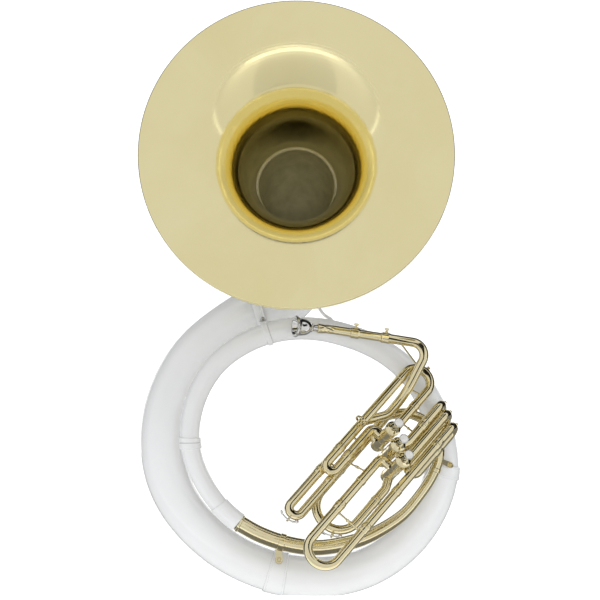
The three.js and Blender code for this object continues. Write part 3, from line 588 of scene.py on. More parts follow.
# ---------------------------------------------------------------- neck and bell collar
neck_start = V(math.cos(rad(17)), 0, math.sin(rad(17)))
neck_end = bell_centre - bell_axis * (bell_depth + 1.5)
neck_corner = V(bell_centre.x, 103, neck_joint.z + (bell_centre.x - neck_joint.x) * math.tan(rad(17)))
neck_route = bent_route(
    [
        neck_joint, neck_corner,
        V(bell_centre.x, 108, neck_end.z - (108 - neck_end.y) * math.tan(bell_tilt)), neck_end
    ],
    [72, 112],
    3,
)
neck_length = route_length(neck_route)


def neck_radius(d):
    return 54 + (86.4 - 54) * d / neck_length


neck_skin = tube(
    neck_route, neck_radius, lambda d: neck_radius(d) - 3, V(0, -1, 0), 56, range(0, int(neck_length), 12), DARK
)
shape = Shape().add(neck_skin, GEL)
# The neck's bare edge is dark where it shows inside the throat.
shape.add(hoop(neck_end, bell_axis, 83.3, 86.9, 0.1, 1.2, 0.2, 96), DARK)
build("neck_shell", shape, "instrument", ["neck"])

shape = Shape().add(hoop(neck_joint, neck_start, 57.4, 61, -9, 12, 1.4, 80), GEL)
shape.add(hoop(neck_joint, neck_start, 57.4, 62.3, 7.2, 12.2, 1.4, 80), GEL)
build("neck_collar_shell", shape, "instrument", ["neck_collar"])
below = V(neck_start.z, 0, -neck_start.x)
facing = V(0, -math.cos(rad(22)), 0) + below * math.sin(rad(22))
screw_at = neck_joint + neck_start * 5 + facing * 61.3
shape = Shape()
wing_screw(shape, screw_at, facing, STEEL, 3, neck_start)
build("neck_screw_wing", shape, "neck_screw", ["neck_screw"])

collar_at = bell_centre - bell_axis * bell_depth
rows = [
    (88.9, -14), (91.6, -14), (93, -12.6), (93, -4), (91.8, -2.6), (91.8, 4), (93, 5.4), (93, 27),
    (94.6, 28), (94.6, 31)
]
rows += [(93.6, 32), (90.2, 32), (88.9, -14)]
build(
    "bell_collar_ring", Shape().add(lathe(rows, collar_at, bell_axis, 96), BRASS), "instrument",
    ["bell_collar"]
)
up_side = -V(1, 0, 0).cross(bell_axis)
for i, turn in enumerate((90, 210, 330)):
    out = V(1, 0, 0) * math.cos(rad(turn)) + up_side * math.sin(rad(turn))
    at = collar_at + bell_axis * 16 + out * 93.3
    boss = Shape().add(hoop(at, out, 3.2, 6.5, -1.5, 1.0, 0.6, 28), BRASS)
    build(f"bell_screw_boss_{i + 1}", boss, "instrument")
    shape = Shape()
    wing_screw(shape, at + out * 1.0, out, SILVER, 4, bell_axis)
    build(f"bell_wing_{i + 1}", shape, f"bell_screw_{i + 1}", [f"bell_screw_{i + 1}"])

stay_points = [V(64, 5, 30), V(59, 12, 43), V(43, 32, 54), V(28, 50, 74), V(10, 68, 104)]
stay = smooth_route(stay_points, 30)
shape = Shape().add(tube(stay, 3.4, 0, V(1, 0, 0), 20), GEL)
shape.add(ball(V(64, 5, 33), 8.5, V(0.1, 0, 1), 0.5, 32), GEL)
shape.add(ball(V(14, 64, 97), 8.0, V(-0.4, -0.7, -0.3), 0.5, 32), GEL)
build("neck_stay_rod", shape, "instrument", ["neck_stay"])


# ---------------------------------------------------------------- bell
def flare(d):
    return bell_radius * (16 / (d + 16)) ** 0.447


shape = Shape()
depths = [270 * (1 - k / 60) ** 2.2 + 2.2 for k in range(60)]
rows = [(tenon_radius - bell_wall, -bell_depth)]
rows += [(flare(d) - bell_wall, -d) for d in depths]
rows += [
    (322, -0.9), (325, -0.2), (327.5, -0.4), (329.3, -1.7), (330, -3.6), (329.2, -5.6), (327, -6.7),
    (324, -6.6)
]
rows += [(flare(d + 1.7), -d - 1.7) for d in depths[::-1] if d > 4.6]
rows += [(tenon_radius, -bell_depth), (tenon_radius - bell_wall, -bell_depth)]
shape.add(lathe(rows, bell_centre, bell_axis, 160), BELL)
build("bell_flare", shape, "bell", ["bell"], 40)

# ---------------------------------------------------------------- valve section
leg_a, leg_b, leg_c, leg_d, leg_e = (88, 0), (63.6, 0), (88, -24), (57.4, -24), (26, 0)
wide_left, wide_right = (56, -46), (-45, -46)
long_left, long_right = (7.7, 5), (-64.7, 5)
crook_front, crook_back = (-37, 5), (-47.5, -28)
long_back, short_front, short_back = (-74.4, -28), (-14.8, 5), (-23.9, -28)
FIRST, MAIN, WIDE = (-70, -124, 62), (-128, -245, 62), (-90, -205, 28)
THIRD, SECOND, UPPER = (-170, -303, 62), (96, 168, 38), (84, 147, 50)
surface = 9.2


def bend_of(a, b):
    return math.dist(a, b) / 2 - 0.01


def sleeve_ring(shape, end, leg, inward, widest=11.7):
    """The ferrule at the mouth of an outer slide sleeve."""
    at = place(end, *leg)
    rows = [
        (9.9, 0), (10.9, 0), (11.7, 0.7), (11.7, 2.2), (11.1, 2.9), (11.1, 8.2), (10.6, 9.2), (10.1, 9.6),
        (9.9, 0)
    ]
    rows = [(min(r, widest), h) for r, h in rows]
    shape.add(lathe(rows, at, tube_axis * inward, 40), BRASS)


def joint_ring(shape, x, leg, half=6.5, proud=1.1):
    """A ferrule where two tubes are soldered end to end."""
    at = place(x, *leg)
    e = 0.9
    r = tube_radius
    rows = [
        (r - 0.4, -half), (r + 0.2, -half), (r + proud, -half + e), (r + proud, half - e), (r + 0.2, half)
    ]
    rows += [(r - 0.4, half), (r - 0.4, -half)]
    shape.add(lathe(rows, at, tube_axis, 40), BRASS)


def brace(shape, a, b, radius=2.0, feet=True, material=None):
    """A stay with a turned middle and a saddle at each end."""
    material = material or BRASS
    a, b = place(*a), place(*b)
    d = b - a
    length = d.length
    r = radius
    m = length / 2
    rows = [
        (0, 0), (r, 0), (r * 0.9, m * 0.55), (r * 1.0, m * 0.8), (r * 1.7, m * 0.86), (r * 1.7, m * 0.92),
        (r * 1.2, m)
    ]
    rows += [(rr, length - h) for rr, h in rows[::-1][1:]]
    if length < 12:
        rows = [(0, 0), (r, 0), (r, length), (0, length)]
    shape.add(lathe(rows, a, d, 24), material)
    if feet:
        for at, way in ((a, d), (b, -d)):
            shape.add(
                lathe([(0, -0.8), (4.6, -0.8), (4.6, 0.5), (3.4, 1.4), (r, 2.4), (0, 2.4)], at, way, 28),
                material
            )


def link(shape, x, first, second, radius=2.0):
    a, b = V(x, *first), V(x, *second)
    way = (b - a).normalized()
    brace(shape, a + way * surface, b - way * surface, radius)


def sleeved(route, first, last=0, outer=None):
    length = route_length(route)
    rows = [(0, sleeve_bore), (first, sleeve_bore), (first + 0.5, tube_bore)]
    if last:
        rows += [(length - last - 0.5, tube_bore), (length - last, sleeve_bore)]
    return tube(route, outer or tube_radius, rows, lining=INNER)


def slide(name, first, second, sizes, body, extras=None, widest=11.6):
    end, reach, overlap = sizes
    inward = 1 if end > reach else -1
    tip = end + inward * overlap
    route = valve_route(
        [(tip, *first), (reach, *first), (reach, *second), (tip, *second)], [bend_of(first, second)] * 2
    )
    near = overlap + gap
    length = route_length(route)
    r, s = tube_radius, slide_radius
    rows = [(0, s - 0.3), (0.6, s), (near, s), (near + 0.1, r)]
    rows += [(length - near - 0.1, r), (length - near, s), (length - 0.6, s), (length, s - 0.3)]
    shape = Shape()
    shape.add(tube(route, rows, tube_bore), BRASS)
    for leg in (first, second):
        # The bow's ferrule, and the bright inner leg that shows when the slide is drawn.
        at = place(end - inward * gap, *leg)
        band = [
            (10.0, 0), (11.1, 0), (11.6, 0.6), (11.6, 1.8), (11.0, 2.4), (11.0, 11.5), (10.5, 12.6),
            (10.0, 12.8), (10.0, 0)
        ]
        band = [(min(r, widest), h) for r, h in band]
        shape.add(lathe(band, at, tube_axis * -inward, 40), BRASS)
        start, stop = (tip - inward * 0.8, end - inward * gap)
        leg_skin = bent_route([place(start, *leg), place(stop, *leg)], [])
        shape.add(tube(leg_skin, s + 0.06, s - 0.3), INNER)
    if extras:
        extras(shape)
    build(name + "_bow", shape, body, [name])


def room(sizes):
    return sizes[2] + 4


def cork_knob(shape, sizes, first, second):
    y, z = (first[0] + second[0]) / 2, (first[1] + second[1]) / 2
    at = place(sizes[1], y, z)
    rows = [
        (0, 8), (3.4, 8), (3.4, 9.6), (2.2, 10.2), (1.8, 10.8), (2.6, 11.4), (3.6, 12), (3.6, 13.1),
        (2.4, 14), (0, 14)
    ]
    shape.add(lathe(rows, at, tube_axis, 28), BRASS)


top_reach = 196
loop_route = valve_route(
    [(-70, *leg_a), (top_reach, *leg_a), (top_reach, *leg_e), (25.7, *leg_e)], [bend_of(leg_a, leg_e)] * 2
)
shape = Shape().add(sleeved(loop_route, room(FIRST)), BRASS)
sleeve_ring(shape, -70, leg_a, 1)
joint_ring(shape, 148, leg_a)
joint_ring(shape, 118, leg_e)
middle = (leg_a[0] + leg_e[0]) / 2
knob = [
    (0, 8), (3.6, 8), (3.6, 9.8), (2.3, 10.6), (1.9, 12), (3.0, 12.8), (4.0, 13.6), (4.0, 15), (2.8, 16),
    (0, 16.2)
]
shape.add(lathe(knob, place(top_reach, middle, 0), tube_axis, 32), BRASS)
shape.add(
    lathe(
        [(0, 8.6), (6.5, 8.6), (6.5, 9.6), (4, 10.6), (0, 10.6)], place(top_reach, middle, 0), tube_axis, 32
    ),
    BRASS
)
build("first_valve_loop", shape, "instrument", ["first_valve_loop_tube"])

shape = Shape().add(
    sleeved(valve_route([(-70, *leg_b), (17, *leg_b), (17, 41, 0)], [13]), room(FIRST)), BRASS
)
sleeve_ring(shape, -70, leg_b, 1)
brace(shape, (-30, leg_b[0] + surface, 0), (-30, leg_a[0] - tube_radius - 0.2, 0), 2.4, False)
build("first_valve_return", shape, "instrument", ["first_valve_return_tube"])

main_route = valve_route([(-128, *leg_d), (11, *leg_d), (11, 41, -24)], [13])
shape = Shape().add(sleeved(main_route, room(MAIN)), BRASS)
sleeve_ring(shape, -128, leg_d, 1, 10.9)
joint_ring(shape, -56, leg_d, 5)
brace(shape, (-100, leg_d[0] + surface, -24), (-100, leg_c[0] - tube_radius - 0.2, -24), 2.2, False)
build("main_slide_return", shape, "instrument", ["main_slide_return_tube"])

exit_route = valve_route([(-90, *wide_right), (-52, *wide_right), (-32, -36, -44.6)], [24])
shape = Shape().add(sleeved(exit_route, room(WIDE)), BRASS)
sleeve_ring(shape, -90, wide_right, 1)
build("branch_slide_right", shape, "instrument", ["branch_slide_right_tube"])

shape = Shape().add(
    sleeved(valve_route([(-170, *long_left), (-26, *long_left), (-26, -17, 5)], [12]), room(THIRD)), BRASS
)
sleeve_ring(shape, -170, long_left, 1)
joint_ring(shape, -96, long_left, 5)
brace(shape, (-72, long_left[0] + surface - 1.5, 2), (-72, leg_d[0] - surface + 1.0, -21), 2.0)
build("third_valve_left", shape, "instrument", ["third_valve_left_tube"])

shape = Shape().add(
    sleeved(valve_route([(-170, *long_right), (84, *long_right)], []), room(THIRD), room(UPPER)), BRASS
)
sleeve_ring(shape, -170, long_right, 1)
sleeve_ring(shape, 84, long_right, -1)
joint_ring(shape, -60, long_right, 6)
build("third_valve_right", shape, "instrument", ["third_valve_right_tube"])

crook_reach = 160
crook_route = valve_route(
    [
        (84, *long_back), (8, *long_back), (8, *crook_back), (crook_reach, *crook_back),
        (crook_reach, *crook_front), (-4, *crook_front),
    ],
    [bend_of(long_back, crook_back)] * 2 + [bend_of(crook_back, crook_front)] * 2,
)
shape = Shape().add(sleeved(crook_route, room(UPPER)), BRASS)
sleeve_ring(shape, 84, long_back, -1)
joint_ring(shape, 140, crook_back, 5)
joint_ring(shape, 140, crook_front, 5)
cork_knob(shape, (0, crook_reach, 0), crook_back, crook_front)
link(shape, 60, long_back, crook_back)
build("third_valve_crook", shape, "instrument", ["third_valve_crook_tube"])

shape = Shape()
front = valve_route([(96, *short_front), (44, *short_front), (24, -5, 5), (12, -5, 5)], [24, 24])
back = valve_route([(96, *short_back), (44, *short_back), (22, -6, -28), (12, -6, -28)], [20, 20])
shape.add(sleeved(front, room(SECOND)), BRASS)
shape.add(sleeved(back, room(SECOND)), BRASS)
sleeve_ring(shape, 96, short_front, -1)
sleeve_ring(shape, 96, short_back, -1)
link(shape, 72, short_front, short_back, 2.4)
brace(shape, (69, short_front[0] + surface, 5), (69, leg_e[0] - tube_radius - 0.2, 2), 2.0, False)
build("second_valve_pair", shape, "instrument", ["second_valve_tubes"])

slide("first_valve_slide", leg_a, leg_b, FIRST, "first_slide")
slide("main_tuning_slide", leg_c, leg_d, MAIN, "main_slide")
slide(
    "third_valve_slide", long_left, long_right, THIRD, "third_slide",
    lambda s: link(s, -184, long_left, long_right, 2.2)
)
slide("branch_tuning_slide", wide_left, wide_right, WIDE, "branch_slide", None, 10.7)
slide(
    "second_valve_slide", short_front, short_back, SECOND, "second_slide",
    lambda s: cork_knob(s, SECOND, short_front, short_back)
)
slide(
    "third_valve_upper_slide", long_right, long_back, UPPER, "upper_slide",
    lambda s: cork_knob(s, UPPER, long_right, long_back)
)


def water_key(name, first, second, reach, pad_angle, touch_angle, body, slide_body):
    bow = math.dist(first, second) / 2
    lift = bow + tube_radius
    centre = (reach + bow, (first[0] + second[0]) / 2)
    pivot = (pad_angle + touch_angle) / 2

    def spot(angle, height, z=first[1]):
        r = lift + height
        return place(centre[0] + r * math.cos(rad(angle)), centre[1] + r * math.sin(rad(angle)), z)

    out = (spot(pivot, 5) - spot(pivot, 0)).normalized()
    shape = Shape()
    points = [spot(pad_angle + (touch_angle - pad_angle) * k / 5, 5 + 2.5 * (k / 5) ** 2) for k in range(6)]
    shape.add(
        tube(smooth_route(points, 24), [(0, 1.7), (8, 2.3), (14, 1.6), (40, 1.4)], 0, valve_axis, 16),
        SILVER
    )
    shape.add(rod(spot(pivot, 6, first[1] - 5), spot(pivot, 6, first[1] + 5), 2.7, 24), SILVER)
    away = (spot(pad_angle, 6) - spot(pad_angle, 0)).normalized()
    cup = [(0, 2.2), (4.2, 2.2), (4.4, 2.8), (4.4, 4.4), (3.2, 6), (1.6, 7), (0, 7.2)]
    shape.add(lathe(cup, spot(pad_angle, 0), away, 32), SILVER)
    shape.add(
        lathe([(0, 0.7), (3.5, 0.7), (3.6, 1.2), (3.6, 2.4), (0, 2.4)], spot(pad_angle, 0), away, 32), CORK
    )
    press = (spot(touch_angle, 6) - spot(touch_angle, 0)).normalized()
    shape.add(
        lathe(
            [(0, 6.8), (4.6, 6.8), (5.2, 7.4), (5.2, 8.4), (4.4, 9.2), (0, 9.4)], spot(touch_angle, 0),
            press, 32
        ),
        SILVER
    )
    build(name + "_lever", shape, body, [name])
    # The saddle's two posts, the rod between them and the nipple under the pad stay on the bow.
    fixed = Shape()
    for z in (-6.6, 6.6):
        fixed.add(rod(spot(pivot, -2.5, first[1] + z), spot(pivot, 7, first[1] + z), 1.7, 16), BRASS)
        fixed.add(ball(spot(pivot, 6.6, first[1] + z), 2.6, valve_axis, 0.6, 16), BRASS)
    fixed.add(rod(spot(pivot, 6, first[1] - 8.4), spot(pivot, 6, first[1] + 8.4), 1.1, 12), STEEL)
    fixed.add(hoop(spot(pad_angle, 0), away, 1.5, 3.4, -1.5, 0.5, 0.4, 28), BRASS)
    build(name + "_saddle", fixed, slide_body)


water_key("main_water_key", leg_c, leg_d, -245, 222, 148, "main_key", "main_slide")
water_key("branch_water_key", wide_left, wide_right, -205, 222, 190, "branch_key", "branch_slide")

# ---------------------------------------------------------------- valves
for i, (x, y) in enumerate(valve_places):
    n = i + 1
    at = place(x, y, 0)
    inside, outside = casing_bore, casing_radius
    rows = [(inside, -casing_end), (outside, -casing_end), (outside, casing_end), (inside, casing_end)]
    shape = Shape().add(lathe(rows + rows[:1], at, valve_axis, 56), BRASS)
    for z in (-54.5, 54.5):
        shape.add(hoop(at, valve_axis, 14.0, 15.1, z - 2.2, z + 2.2, 0.6), BRASS)
    shape.add(hoop(at, valve_axis, 14.0, 14.7, -12.6, -9.4, 0.4), BRASS)
    shape.add(hoop(at, valve_axis, 14.0, 14.7, 15.4, 18.6, 0.4), BRASS)
    build(f"valve_casing_tube_{n}", shape, "instrument", [f"valve_casing_{n}"])

    e = casing_end
    rows = [
        (14.6, e - 5), (15.6, e - 5), (16.2, e - 4.4), (16.2, e - 3.2), (16.2, e - 0.4), (16.2, e + 0.6),
        (15.2, e + 1.4)
    ]
    rows += [
        (13.6, e + 2.4), (11.4, e + 4.6), (9.6, e + 7.4), (8.4, e + 9), (5.2, e + 9.2), (4.2, e + 8.6),
        (4.2, e + 0.4)
    ]
    rows += [(14.5, e + 0.4), (14.6, e - 5)]
    cap = Shape().add(lathe(rows, at, valve_axis, 144, ({3, 4}, 36, 0.5)), BRASS)
    build(f"valve_top_cap_{n}", cap, "instrument", [f"top_cap_{n}"])
    rows = [
        (0, -e - 9), (2.4, -e - 9), (3.2, -e - 8.4), (4.6, -e - 8), (7, -e - 6.6), (12, -e - 4.4),
        (15.0, -e - 2.6)
    ]
    rows += [
        (15.6, -e - 1.8), (15.6, -e + 3.6), (15.1, -e + 5), (14.6, -e + 5), (14.5, -e - 0.4), (0, -e - 0.4)
    ]
    cap = Shape().add(lathe(rows, at, valve_axis, 144, ({7, 8}, 36, 0.5)), BRASS)
    build(f"valve_bottom_cap_{n}", cap, "instrument", [f"bottom_cap_{n}"])

    rows = [
        (0, -14), (9.5, -14), (9.5, -40), (12.1, -40), (12.5, -39.4), (12.5, 51.4), (12, 52), (3.2, 52),
        (3.2, 100), (0, 100)
    ]
    body = f"valve_{n}"
    piston = Shape().add(lathe(rows, at, valve_axis, 48), SILVER)
    piston.add(hoop(at, valve_axis, 3.0, 7.6, 52.5, 55.5, 0.5), CORK)
    build(f"valve_piston_{n}", piston, body, [f"piston_{n}"])
    rows = [
        (0, 100.3), (4.2, 100.3), (6.6, 100.7), (9.4, 101.6), (10.4, 102.8), (10.4, 106.4), (9.9, 107.4),
        (9.0, 107.8)
    ]
    rows += [(8.6, 107.2), (0, 107.2)]
    button = Shape().add(lathe(rows, at, valve_axis, 56), SILVER)
    disc = [(0, 107.0), (8.5, 107.0), (8.5, 108.0), (7.6, 108.8), (5.4, 109.2), (2.6, 109.4), (0, 109.4)]
    button.add(lathe(disc, at, valve_axis, 56), PEARL)
    build(f"valve_button_{n}", button, body, [f"finger_button_{n}"])
    turns = [2 * math.pi * k / 18 for k in range(4 * 18 + 1)]
    wire = []
    for k, t in enumerate(turns):
        h = -60.8 + 45.6 * k / (len(turns) - 1)
        ahead = tube_axis * -math.sin(t) + side_axis * math.cos(t) + valve_axis * 0.24
        wire.append((place(x + 7.4 * math.cos(t), y + 7.4 * math.sin(t), h), ahead.normalized()))
    spring = Shape().add(tube(wire, 0.9, 0, valve_axis, 8), STEEL)
    build(f"valve_coil_{n}", spring, "instrument", [f"valve_spring_{n}"])

# Thin stays between the slides, the branch and the mouthpipe.
stays = Shape()
brace(stays, (-17, long_right[0] - 3, 5 - surface), (-30.5, -73, -52), 1.9)
build("branch_stay", stays, "instrument")

cluster = Shape()
for z, r in ((30, 1.6), (-40, 1.6)):
    for (x1, y1), (x2, y2) in zip(valve_places, valve_places[1:]):
        a, b = place(x1, y1, z), place(x2, y2, z)
        way = (b - a).normalized()
        cluster.add(rod(a + way * 13.9, b - way * 13.9, 3.2, 20), BRASS)
build("valve_cluster_links", cluster, "instrument")

# ---------------------------------------------------------------- branch
start_angle = rad(230.25)
start = V(math.cos(start_angle), 0, math.sin(start_angle)) * 233 + ring_centre
start.y = -37
branch_points = [
    (-98.3, -38, -425), (-32.8, -40, -446.6), (28.3, -42, -453.4), (98.1, -42, -442.1), (146.1, -41, -424.7),
    (211.6, -39, -383.4), (249.2, -38, -340.4), (275, -39, -301.5), (289.1, -40, -268.7), (293.5, -39, -240.4),
    (290.4, -35.5, -210), (277.5, -32, -190.5), (260, -31, -175.3), (240.2, -34, -165.3), (218.2, -40, -159.2),
    (198.3, -48, -161.5),
]
branch_route = smooth_route(
    [start, *[V(*p) for p in branch_points], place(78, *wide_left), place(66, *wide_left)], 110
)
branch_route[0] = (branch_route[0][0], V(-math.sin(start_angle), 0, math.cos(start_angle)))
taper = route_length(branch_route)
branch_route.append((place(WIDE[0], *wide_left), -tube_axis))
branch_length = route_length(branch_route)


def branch_radius(d):
    share = min(1, d / taper)
    s = min(max((share - 0.3) / 0.32, 0), 1)
    slim = 0.42 * (3 * s * s - 2 * s**3) + 0.58 * share
    return 18.5 + (tube_radius - 18.5) * slim


bore_end = branch_length - room(WIDE)
shape = Shape()
shape.add(
    tube(
        branch_route, branch_radius, lambda d: sleeve_bore if d > bore_end else branch_radius(d) - 1.4, V(0, -1, 0),
        None, [bore_end, bore_end - 0.5], INNER,
    ),
    BRASS,
)
for d, half, proud in ((104, 7, 1.8), (508, 5, 1.4), (3.2, 3, 1.6)):
    p, t = spot_on(branch_route, d)
    r = branch_radius(d)
    rows = [
        (r - 0.6, -half), (r + 0.3, -half), (r + proud, -half + 1), (r + proud, half - 1), (r + 0.3, half),
        (r - 0.6, half)
    ]
    shape.add(lathe(rows + rows[:1], p, t, 56), BRASS)
sleeve_ring(shape, WIDE[0], wide_left, 1)


def arm(shape, a, b, width, facing):
    ahead = (b - a).normalized()
    normal = (facing - ahead * facing.dot(ahead)).normalized()
    across = normal.cross(ahead)
    length = (b - a).length
    w = width / 2
    outline = [(-w * 0.8, 0), (w * 0.8, 0), (w * 0.86, length * 0.4), (w, length - w)]
    outline += [(w * math.cos(rad(t)), length - w + w * math.sin(rad(t))) for t in range(15, 180, 15)]
    outline += [(-w, length - w), (-w * 0.86, length * 0.4)]
    shape.add(plate(outline, a, across, ahead, 3, 0.6), BRASS)


front_way = V(0, -1, 0)
lower_screw = V(-57, -24.5, -481)
upper_from, upper_to = V(293, -40, -262), V(323, -13, -277)
upper_ahead = (upper_to - upper_from).normalized()
upper_facing = (front_way - upper_ahead * front_way.dot(upper_ahead)).normalized()
upper_screw = upper_to.lerp(upper_from, 0.17) + upper_facing * 1.5
arm(shape, V(-57, -23, -446), V(-57, -23, -491), 17, front_way)
arm(shape, upper_from, upper_to, 13, upper_facing)
shape.add(rod(lower_screw + V(0, 1, 0), V(-57, 26, -481), 4.5, 28), BRASS)
shape.add(rod(upper_screw - upper_facing * 3.2, upper_screw + V(0, 20, 0), 4.5, 28), BRASS)
build("branch_tube", shape, "instrument", ["branch"])
for name, at, way in (("lower", lower_screw, front_way), ("upper", upper_screw, upper_facing)):
    screw = Shape().add(
        lathe([(0, 0.3), (5.4, 0.3), (5.5, 1), (5.5, 2.2), (5.0, 3.2), (0, 3.2)], at, way, 40, None), BRASS
    )
    rows = [(0, 3), (4, 3), (4.2, 4), (4.0, 5.8), (3.2, 6.4), (0, 6.4)]
    screw.add(lathe(rows, at, way, 48, ({1, 2, 3}, 24, 0.35)), BRASS)
    screw.add(rod(at - way * 6, at + way * 1, 2, 16), BRASS)
    build(name + "_bracket_head", screw, "instrument", [name + "_bracket_screw"])

# ---------------------------------------------------------------- mouthpiece, bits, mouthpipe
rim_centre = V(-22.7, -89.95, 30.28)
mouth_axis = V(-0.936, -0.342, 0.087).normalized()
pipe_corner = V(271.9, -84, -10.5)
mouthpiece_length = 53  # from the rim to where the bit starts
bit_corner = rim_centre - mouth_axis * (mouthpiece_length + 34)
pipe_line = (pipe_corner - bit_corner).normalized()


def on_pipe(x):
    return bit_corner + pipe_line * ((x - bit_corner.x) / pipe_line.x)


rows = [
    (8.5, -14), (10.6, -11.4), (12.8, -8.6), (14.5, -6), (16.2, -3.2), (17.4, -1.2), (18.5, -0.2),
    (19.6, 0), (20.8, 0)
]
rows += [
    (22.2, -0.3), (23.2, -1.1), (23.6, -2.4), (23.5, -4), (22.9, -5.4), (21.4, -7.2), (20.2, -9.2),
    (19.7, -11.6), (19.3, -15)
]
rows += [
    (18.7, -19.4), (17.7, -24.4), (16.2, -28.8), (14.0, -32.8), (11.4, -35.8), (9.6, -37.2), (9.9, -38.4),
    (9.6, -39.8)
]
rows += [
    (8.4, -40.8), (7.2, -42.4), (6.6, -45), (6.6, -53), (6.3, -66), (4.6, -66), (4.2, -30), (6.2, -18),
    (8.5, -14)
]
shape = Shape().add(lathe(rows, rim_centre, mouth_axis, 80), SILVER)
build("mouthpiece_turned", shape, "mouthpiece", ["mouthpiece"])

z_up = V(0, 0, 1)
shank_end = rim_centre - mouth_axis * mouthpiece_length
first_route = bent_route([shank_end, bit_corner, on_pipe(116)], [34], 3)
rows = [(0, 9.9), (0.7, 10.6), (3, 10.6), (3.6, 10.2), (12.6, 10.2), (14, 9.4)]
shape = Shape().add(tube(first_route, rows, 7.4, z_up), BRASS)
bit_length = route_length(first_route)
p, t = spot_on(first_route, bit_length - 16.6)
shape.add(hoop(p, t, 9.2, 10.6, -1.2, 1.2, 0.5, 40), BRASS)
build("first_bit_tube", shape, "first_bit", ["first_bit"])

socket = [(0, 11.4), (0.6, 12.1), (2.4, 12.1), (3.0, 11.6), (16, 11.6), (19, 9.5)]
second_route = bent_route([on_pipe(101), on_pipe(182)], [])
shape = Shape().add(tube(second_route, socket, [(0, 10.5), (15.3, 10.5), (15.4, 7.4)], z_up), BRASS)
p, t = spot_on(second_route, route_length(second_route) - 16.6)
shape.add(hoop(p, t, 9.2, 10.6, -1.2, 1.2, 0.5, 40), BRASS)
bit_facing = (z_up - pipe_line * z_up.dot(pipe_line)).normalized()
for k, (x, body) in enumerate(((101, "second_bit"), (167, "instrument"))):
    at = on_pipe(x + 8) + bit_facing * 12
    target = shape if k == 0 else Shape()
    target.add(hoop(at, bit_facing, 3.1, 5.4, -1.4, 0.2, 0.4, 28), BRASS)
    if k:
        build("bit_screw_boss", target, "instrument")
    wing = Shape()
    wing_screw(wing, at + bit_facing * 0.3, bit_facing, BRASS, 2.4, pipe_line, 0.72)
    build(f"bit_wing_{k + 1}", wing, f"bit_screw_{k + 1}", [f"bit_screw_{k + 1}"])
build("second_bit_tube", shape, "second_bit", ["second_bit"])

pipe_route = bent_route(
    [
        on_pipe(167), pipe_corner, V(225.5, -75, -102.6), place(112, 57, -22), place(72, 57, -24.5),
        place(22, 88, -24), place(MAIN[0], *leg_c),
    ],
    [28, 160, 50, 34, 34],
    5,
)
pipe_length = route_length(pipe_route)
bore_at = pipe_length - room(MAIN)
outer = [(0, 11.4), (0.6, 12.1), (2.4, 12.1), (3.0, 11.6), (16, 11.6), (19, 10.2)]
inner = [(0, 10.5), (15.3, 10.5), (15.4, 8.2), (bore_at - 0.5, 8.2), (bore_at, 9.7)]
shape = Shape().add(tube(pipe_route, outer, inner, z_up, lining=INNER), BRASS)
sleeve_ring(shape, MAIN[0], leg_c, 1)
joint_ring(shape, -56, leg_c, 5)
a, b = on_pipe(202), V(247, -80, -60)
way = (b - a).normalized()
shape.add(rod(a + way * 8.8, b - way * 6, 1.9, 20), BRASS)
shape.add(lathe([(0, 0), (5, 0), (4.4, 1.2), (1.9, 2.6), (0, 2.6)], a + way * 9.4, way, 28), BRASS)
leg_spot = place(150, leg_e[0], 0)
pipe_spots = [spot_on(pipe_route, d)[0] for d in range(0, int(pipe_length), 2)]
near_spot = min(pipe_spots, key=lambda spot: (spot - leg_spot).length)
way = (near_spot - leg_spot).normalized()
shape.add(rod(leg_spot + way * 9.4, near_spot - way * 9.0, 2.1, 20), BRASS)
build("mouthpipe_tube", shape, "instrument", ["mouthpipe"])

reach = tube_radius + 12 + 2.4
centre = place(1, 88 + reach * math.cos(rad(80)), reach * math.sin(rad(80)))
shape = Shape().add(hoop(centre, tube_axis, 12, 14, -2.6, 2.6, 0.9, 64), BRASS)
build("thumb_hoop", shape, "instrument", ["thumb_ring"])


# ---------------------------------------------------------------- studio
def card(name, size, at, turn, color, emit=0.0):
    """A flat panel of the studio."""
    mesh = bpy.data.meshes.new(name)
    x, y = size[0] / 2, size[1] / 2
    mesh.from_pydata([(-x, -y, 0), (x, -y, 0), (x, y, 0), (-x, y, 0)], [], [(0, 1, 2, 3)])
    m, nodes, links, shader = new_material(name)
    shader.inputs["Base Color"].default_value = (*color, 1)
    shader.inputs["Roughness"].default_value = 0.9
    mesh.materials.append(m)
    obj = bpy.data.objects.new(name, mesh)
    bpy.context.scene.collection.objects.link(obj)
    obj.location = at
    obj.rotation_euler = turn
    return obj


def sweep():
    """The floor, curving up into the backdrop, pale and lit a little from within."""
    floor, back, bend = -0.5735, 14.0, 2.4
    line = [(-9.0, floor), (back - bend, floor)]
    line += [
        (
            back - bend + bend * math.sin(rad(t)), floor + bend * (1 - math.cos(rad(t)))
        ) for t in range(5, 91, 5)
    ]
    line.append((back, 7.0))
    verts, faces = [], []
    for y, z in line:
        verts += [(-12, y, z), (12, y, z)]
    for i in range(len(line) - 1):
        faces.append((2 * i, 2 * i + 1, 2 * i + 3, 2 * i + 2))
    mesh = bpy.data.meshes.new("sweep")
    mesh.from_pydata(verts, [], faces)
    mesh.shade_smooth()
    m, nodes, links, shader = new_material("sweep")
    shader.inputs["Base Color"].default_value = (0.86, 0.86, 0.86, 1)
    shader.inputs["Roughness"].default_value = 0.95
    shader.inputs["Emission Color"].default_value = (1, 1, 1, 1)
    shader.inputs["Emission Strength"].default_value = 0.5
    mesh.materials.append(m)
    obj = bpy.data.objects.new("sweep", mesh)
    bpy.context.scene.collection.objects.link(obj)


sweep()
black = (0.004, 0.004, 0.004)
mild = (0.80, 0.80, 0.80)
olive = (0.26, 0.26, 0.26)
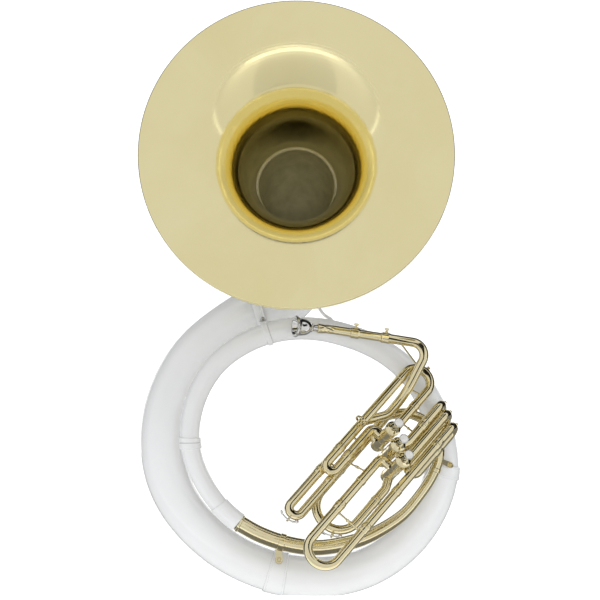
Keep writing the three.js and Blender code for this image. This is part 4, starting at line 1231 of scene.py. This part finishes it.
# A strip along the valve tubes: its long side is tube_axis, its short side the way a reflection moves round them.
strip_side = Vector((-0.76, 0.24, 0.61))
strip_side = (strip_side - tube_axis * strip_side.dot(tube_axis)).normalized()
strip_front = tube_axis.cross(strip_side)
close_turn = Matrix((tube_axis, strip_side, strip_front)).transposed().to_euler()
floor_front = card("floor_front", (16, 8.4), (0, -4.55, -0.5725), (0, 0, 0), (0.93, 0.93, 0.93))
floor_mat = card("floor_mat", (1.7, 5.0), (0.02, -3.2, -0.5715), (0, 0, 0), mild)
floor_front.visible_camera = False
floor_mat.visible_camera = False
flags = [
    card("flag_left", (2.7, 3.6), (-2.3, 1.15, 0.7), (rad(90), 0, rad(90)), black),
    card("flag_right", (2.7, 3.6), (2.3, 1.15, 0.7), (rad(90), 0, rad(90)), black),
    card("flag_top", (5.4, 2.5), (0, 1.05, 2.7), (0, 0, 0), black),
    card("flag_under", (4.4, 3.4), (0, 1.5, -0.566), (0, 0, 0), olive),
    card("flag_back", (6.0, 4.4), (0, 3.0, 3.2), (rad(90), 0, 0), olive),
    card("flag_close", (0.9, 0.19), (0.35, -0.43, 0.056), close_turn, black),
]
for flag in flags:
    # Only reflections see the flags: they cast no shadow and leave the white coat evenly lit.
    flag.visible_camera = False
    flag.visible_diffuse = False
    flag.visible_shadow = False

world = bpy.data.worlds.new("studio")
bpy.context.scene.world = world
world.use_nodes = True
world.node_tree.nodes["Background"].inputs["Color"].default_value = (1, 1, 1, 1)
world.node_tree.nodes["Background"].inputs["Strength"].default_value = 0.72


def area(name, at, target, size, power):
    light = bpy.data.lights.new(name, "AREA")
    light.shape = "RECTANGLE"
    light.size, light.size_y = size
    light.energy = power
    obj = bpy.data.objects.new(name, light)
    bpy.context.scene.collection.objects.link(obj)
    obj.location = at
    obj.rotation_euler = (Vector(target) - Vector(at)).to_track_quat("-Z", "Y").to_euler()
    obj.visible_glossy = False


area("key", (-2.4, -3.6, 3.4), (0, -0.1, 0), (2.4, 2.4), 3)
area("front", (0.2, -6.2, 0.25), (0, -0.1, -0.2), (3.0, 1.6), 66)

camera = bpy.data.objects.new("camera", bpy.data.cameras.new("camera"))
bpy.context.scene.collection.objects.link(camera)
camera.data.lens = 163.6
camera.data.sensor_width = 36
camera.location = (-0.011, -5.992, 0.087)
camera.rotation_euler = (rad(90), 0, 0)
bpy.context.scene.camera = camera
bpy.context.scene.view_settings.view_transform = "Standard"

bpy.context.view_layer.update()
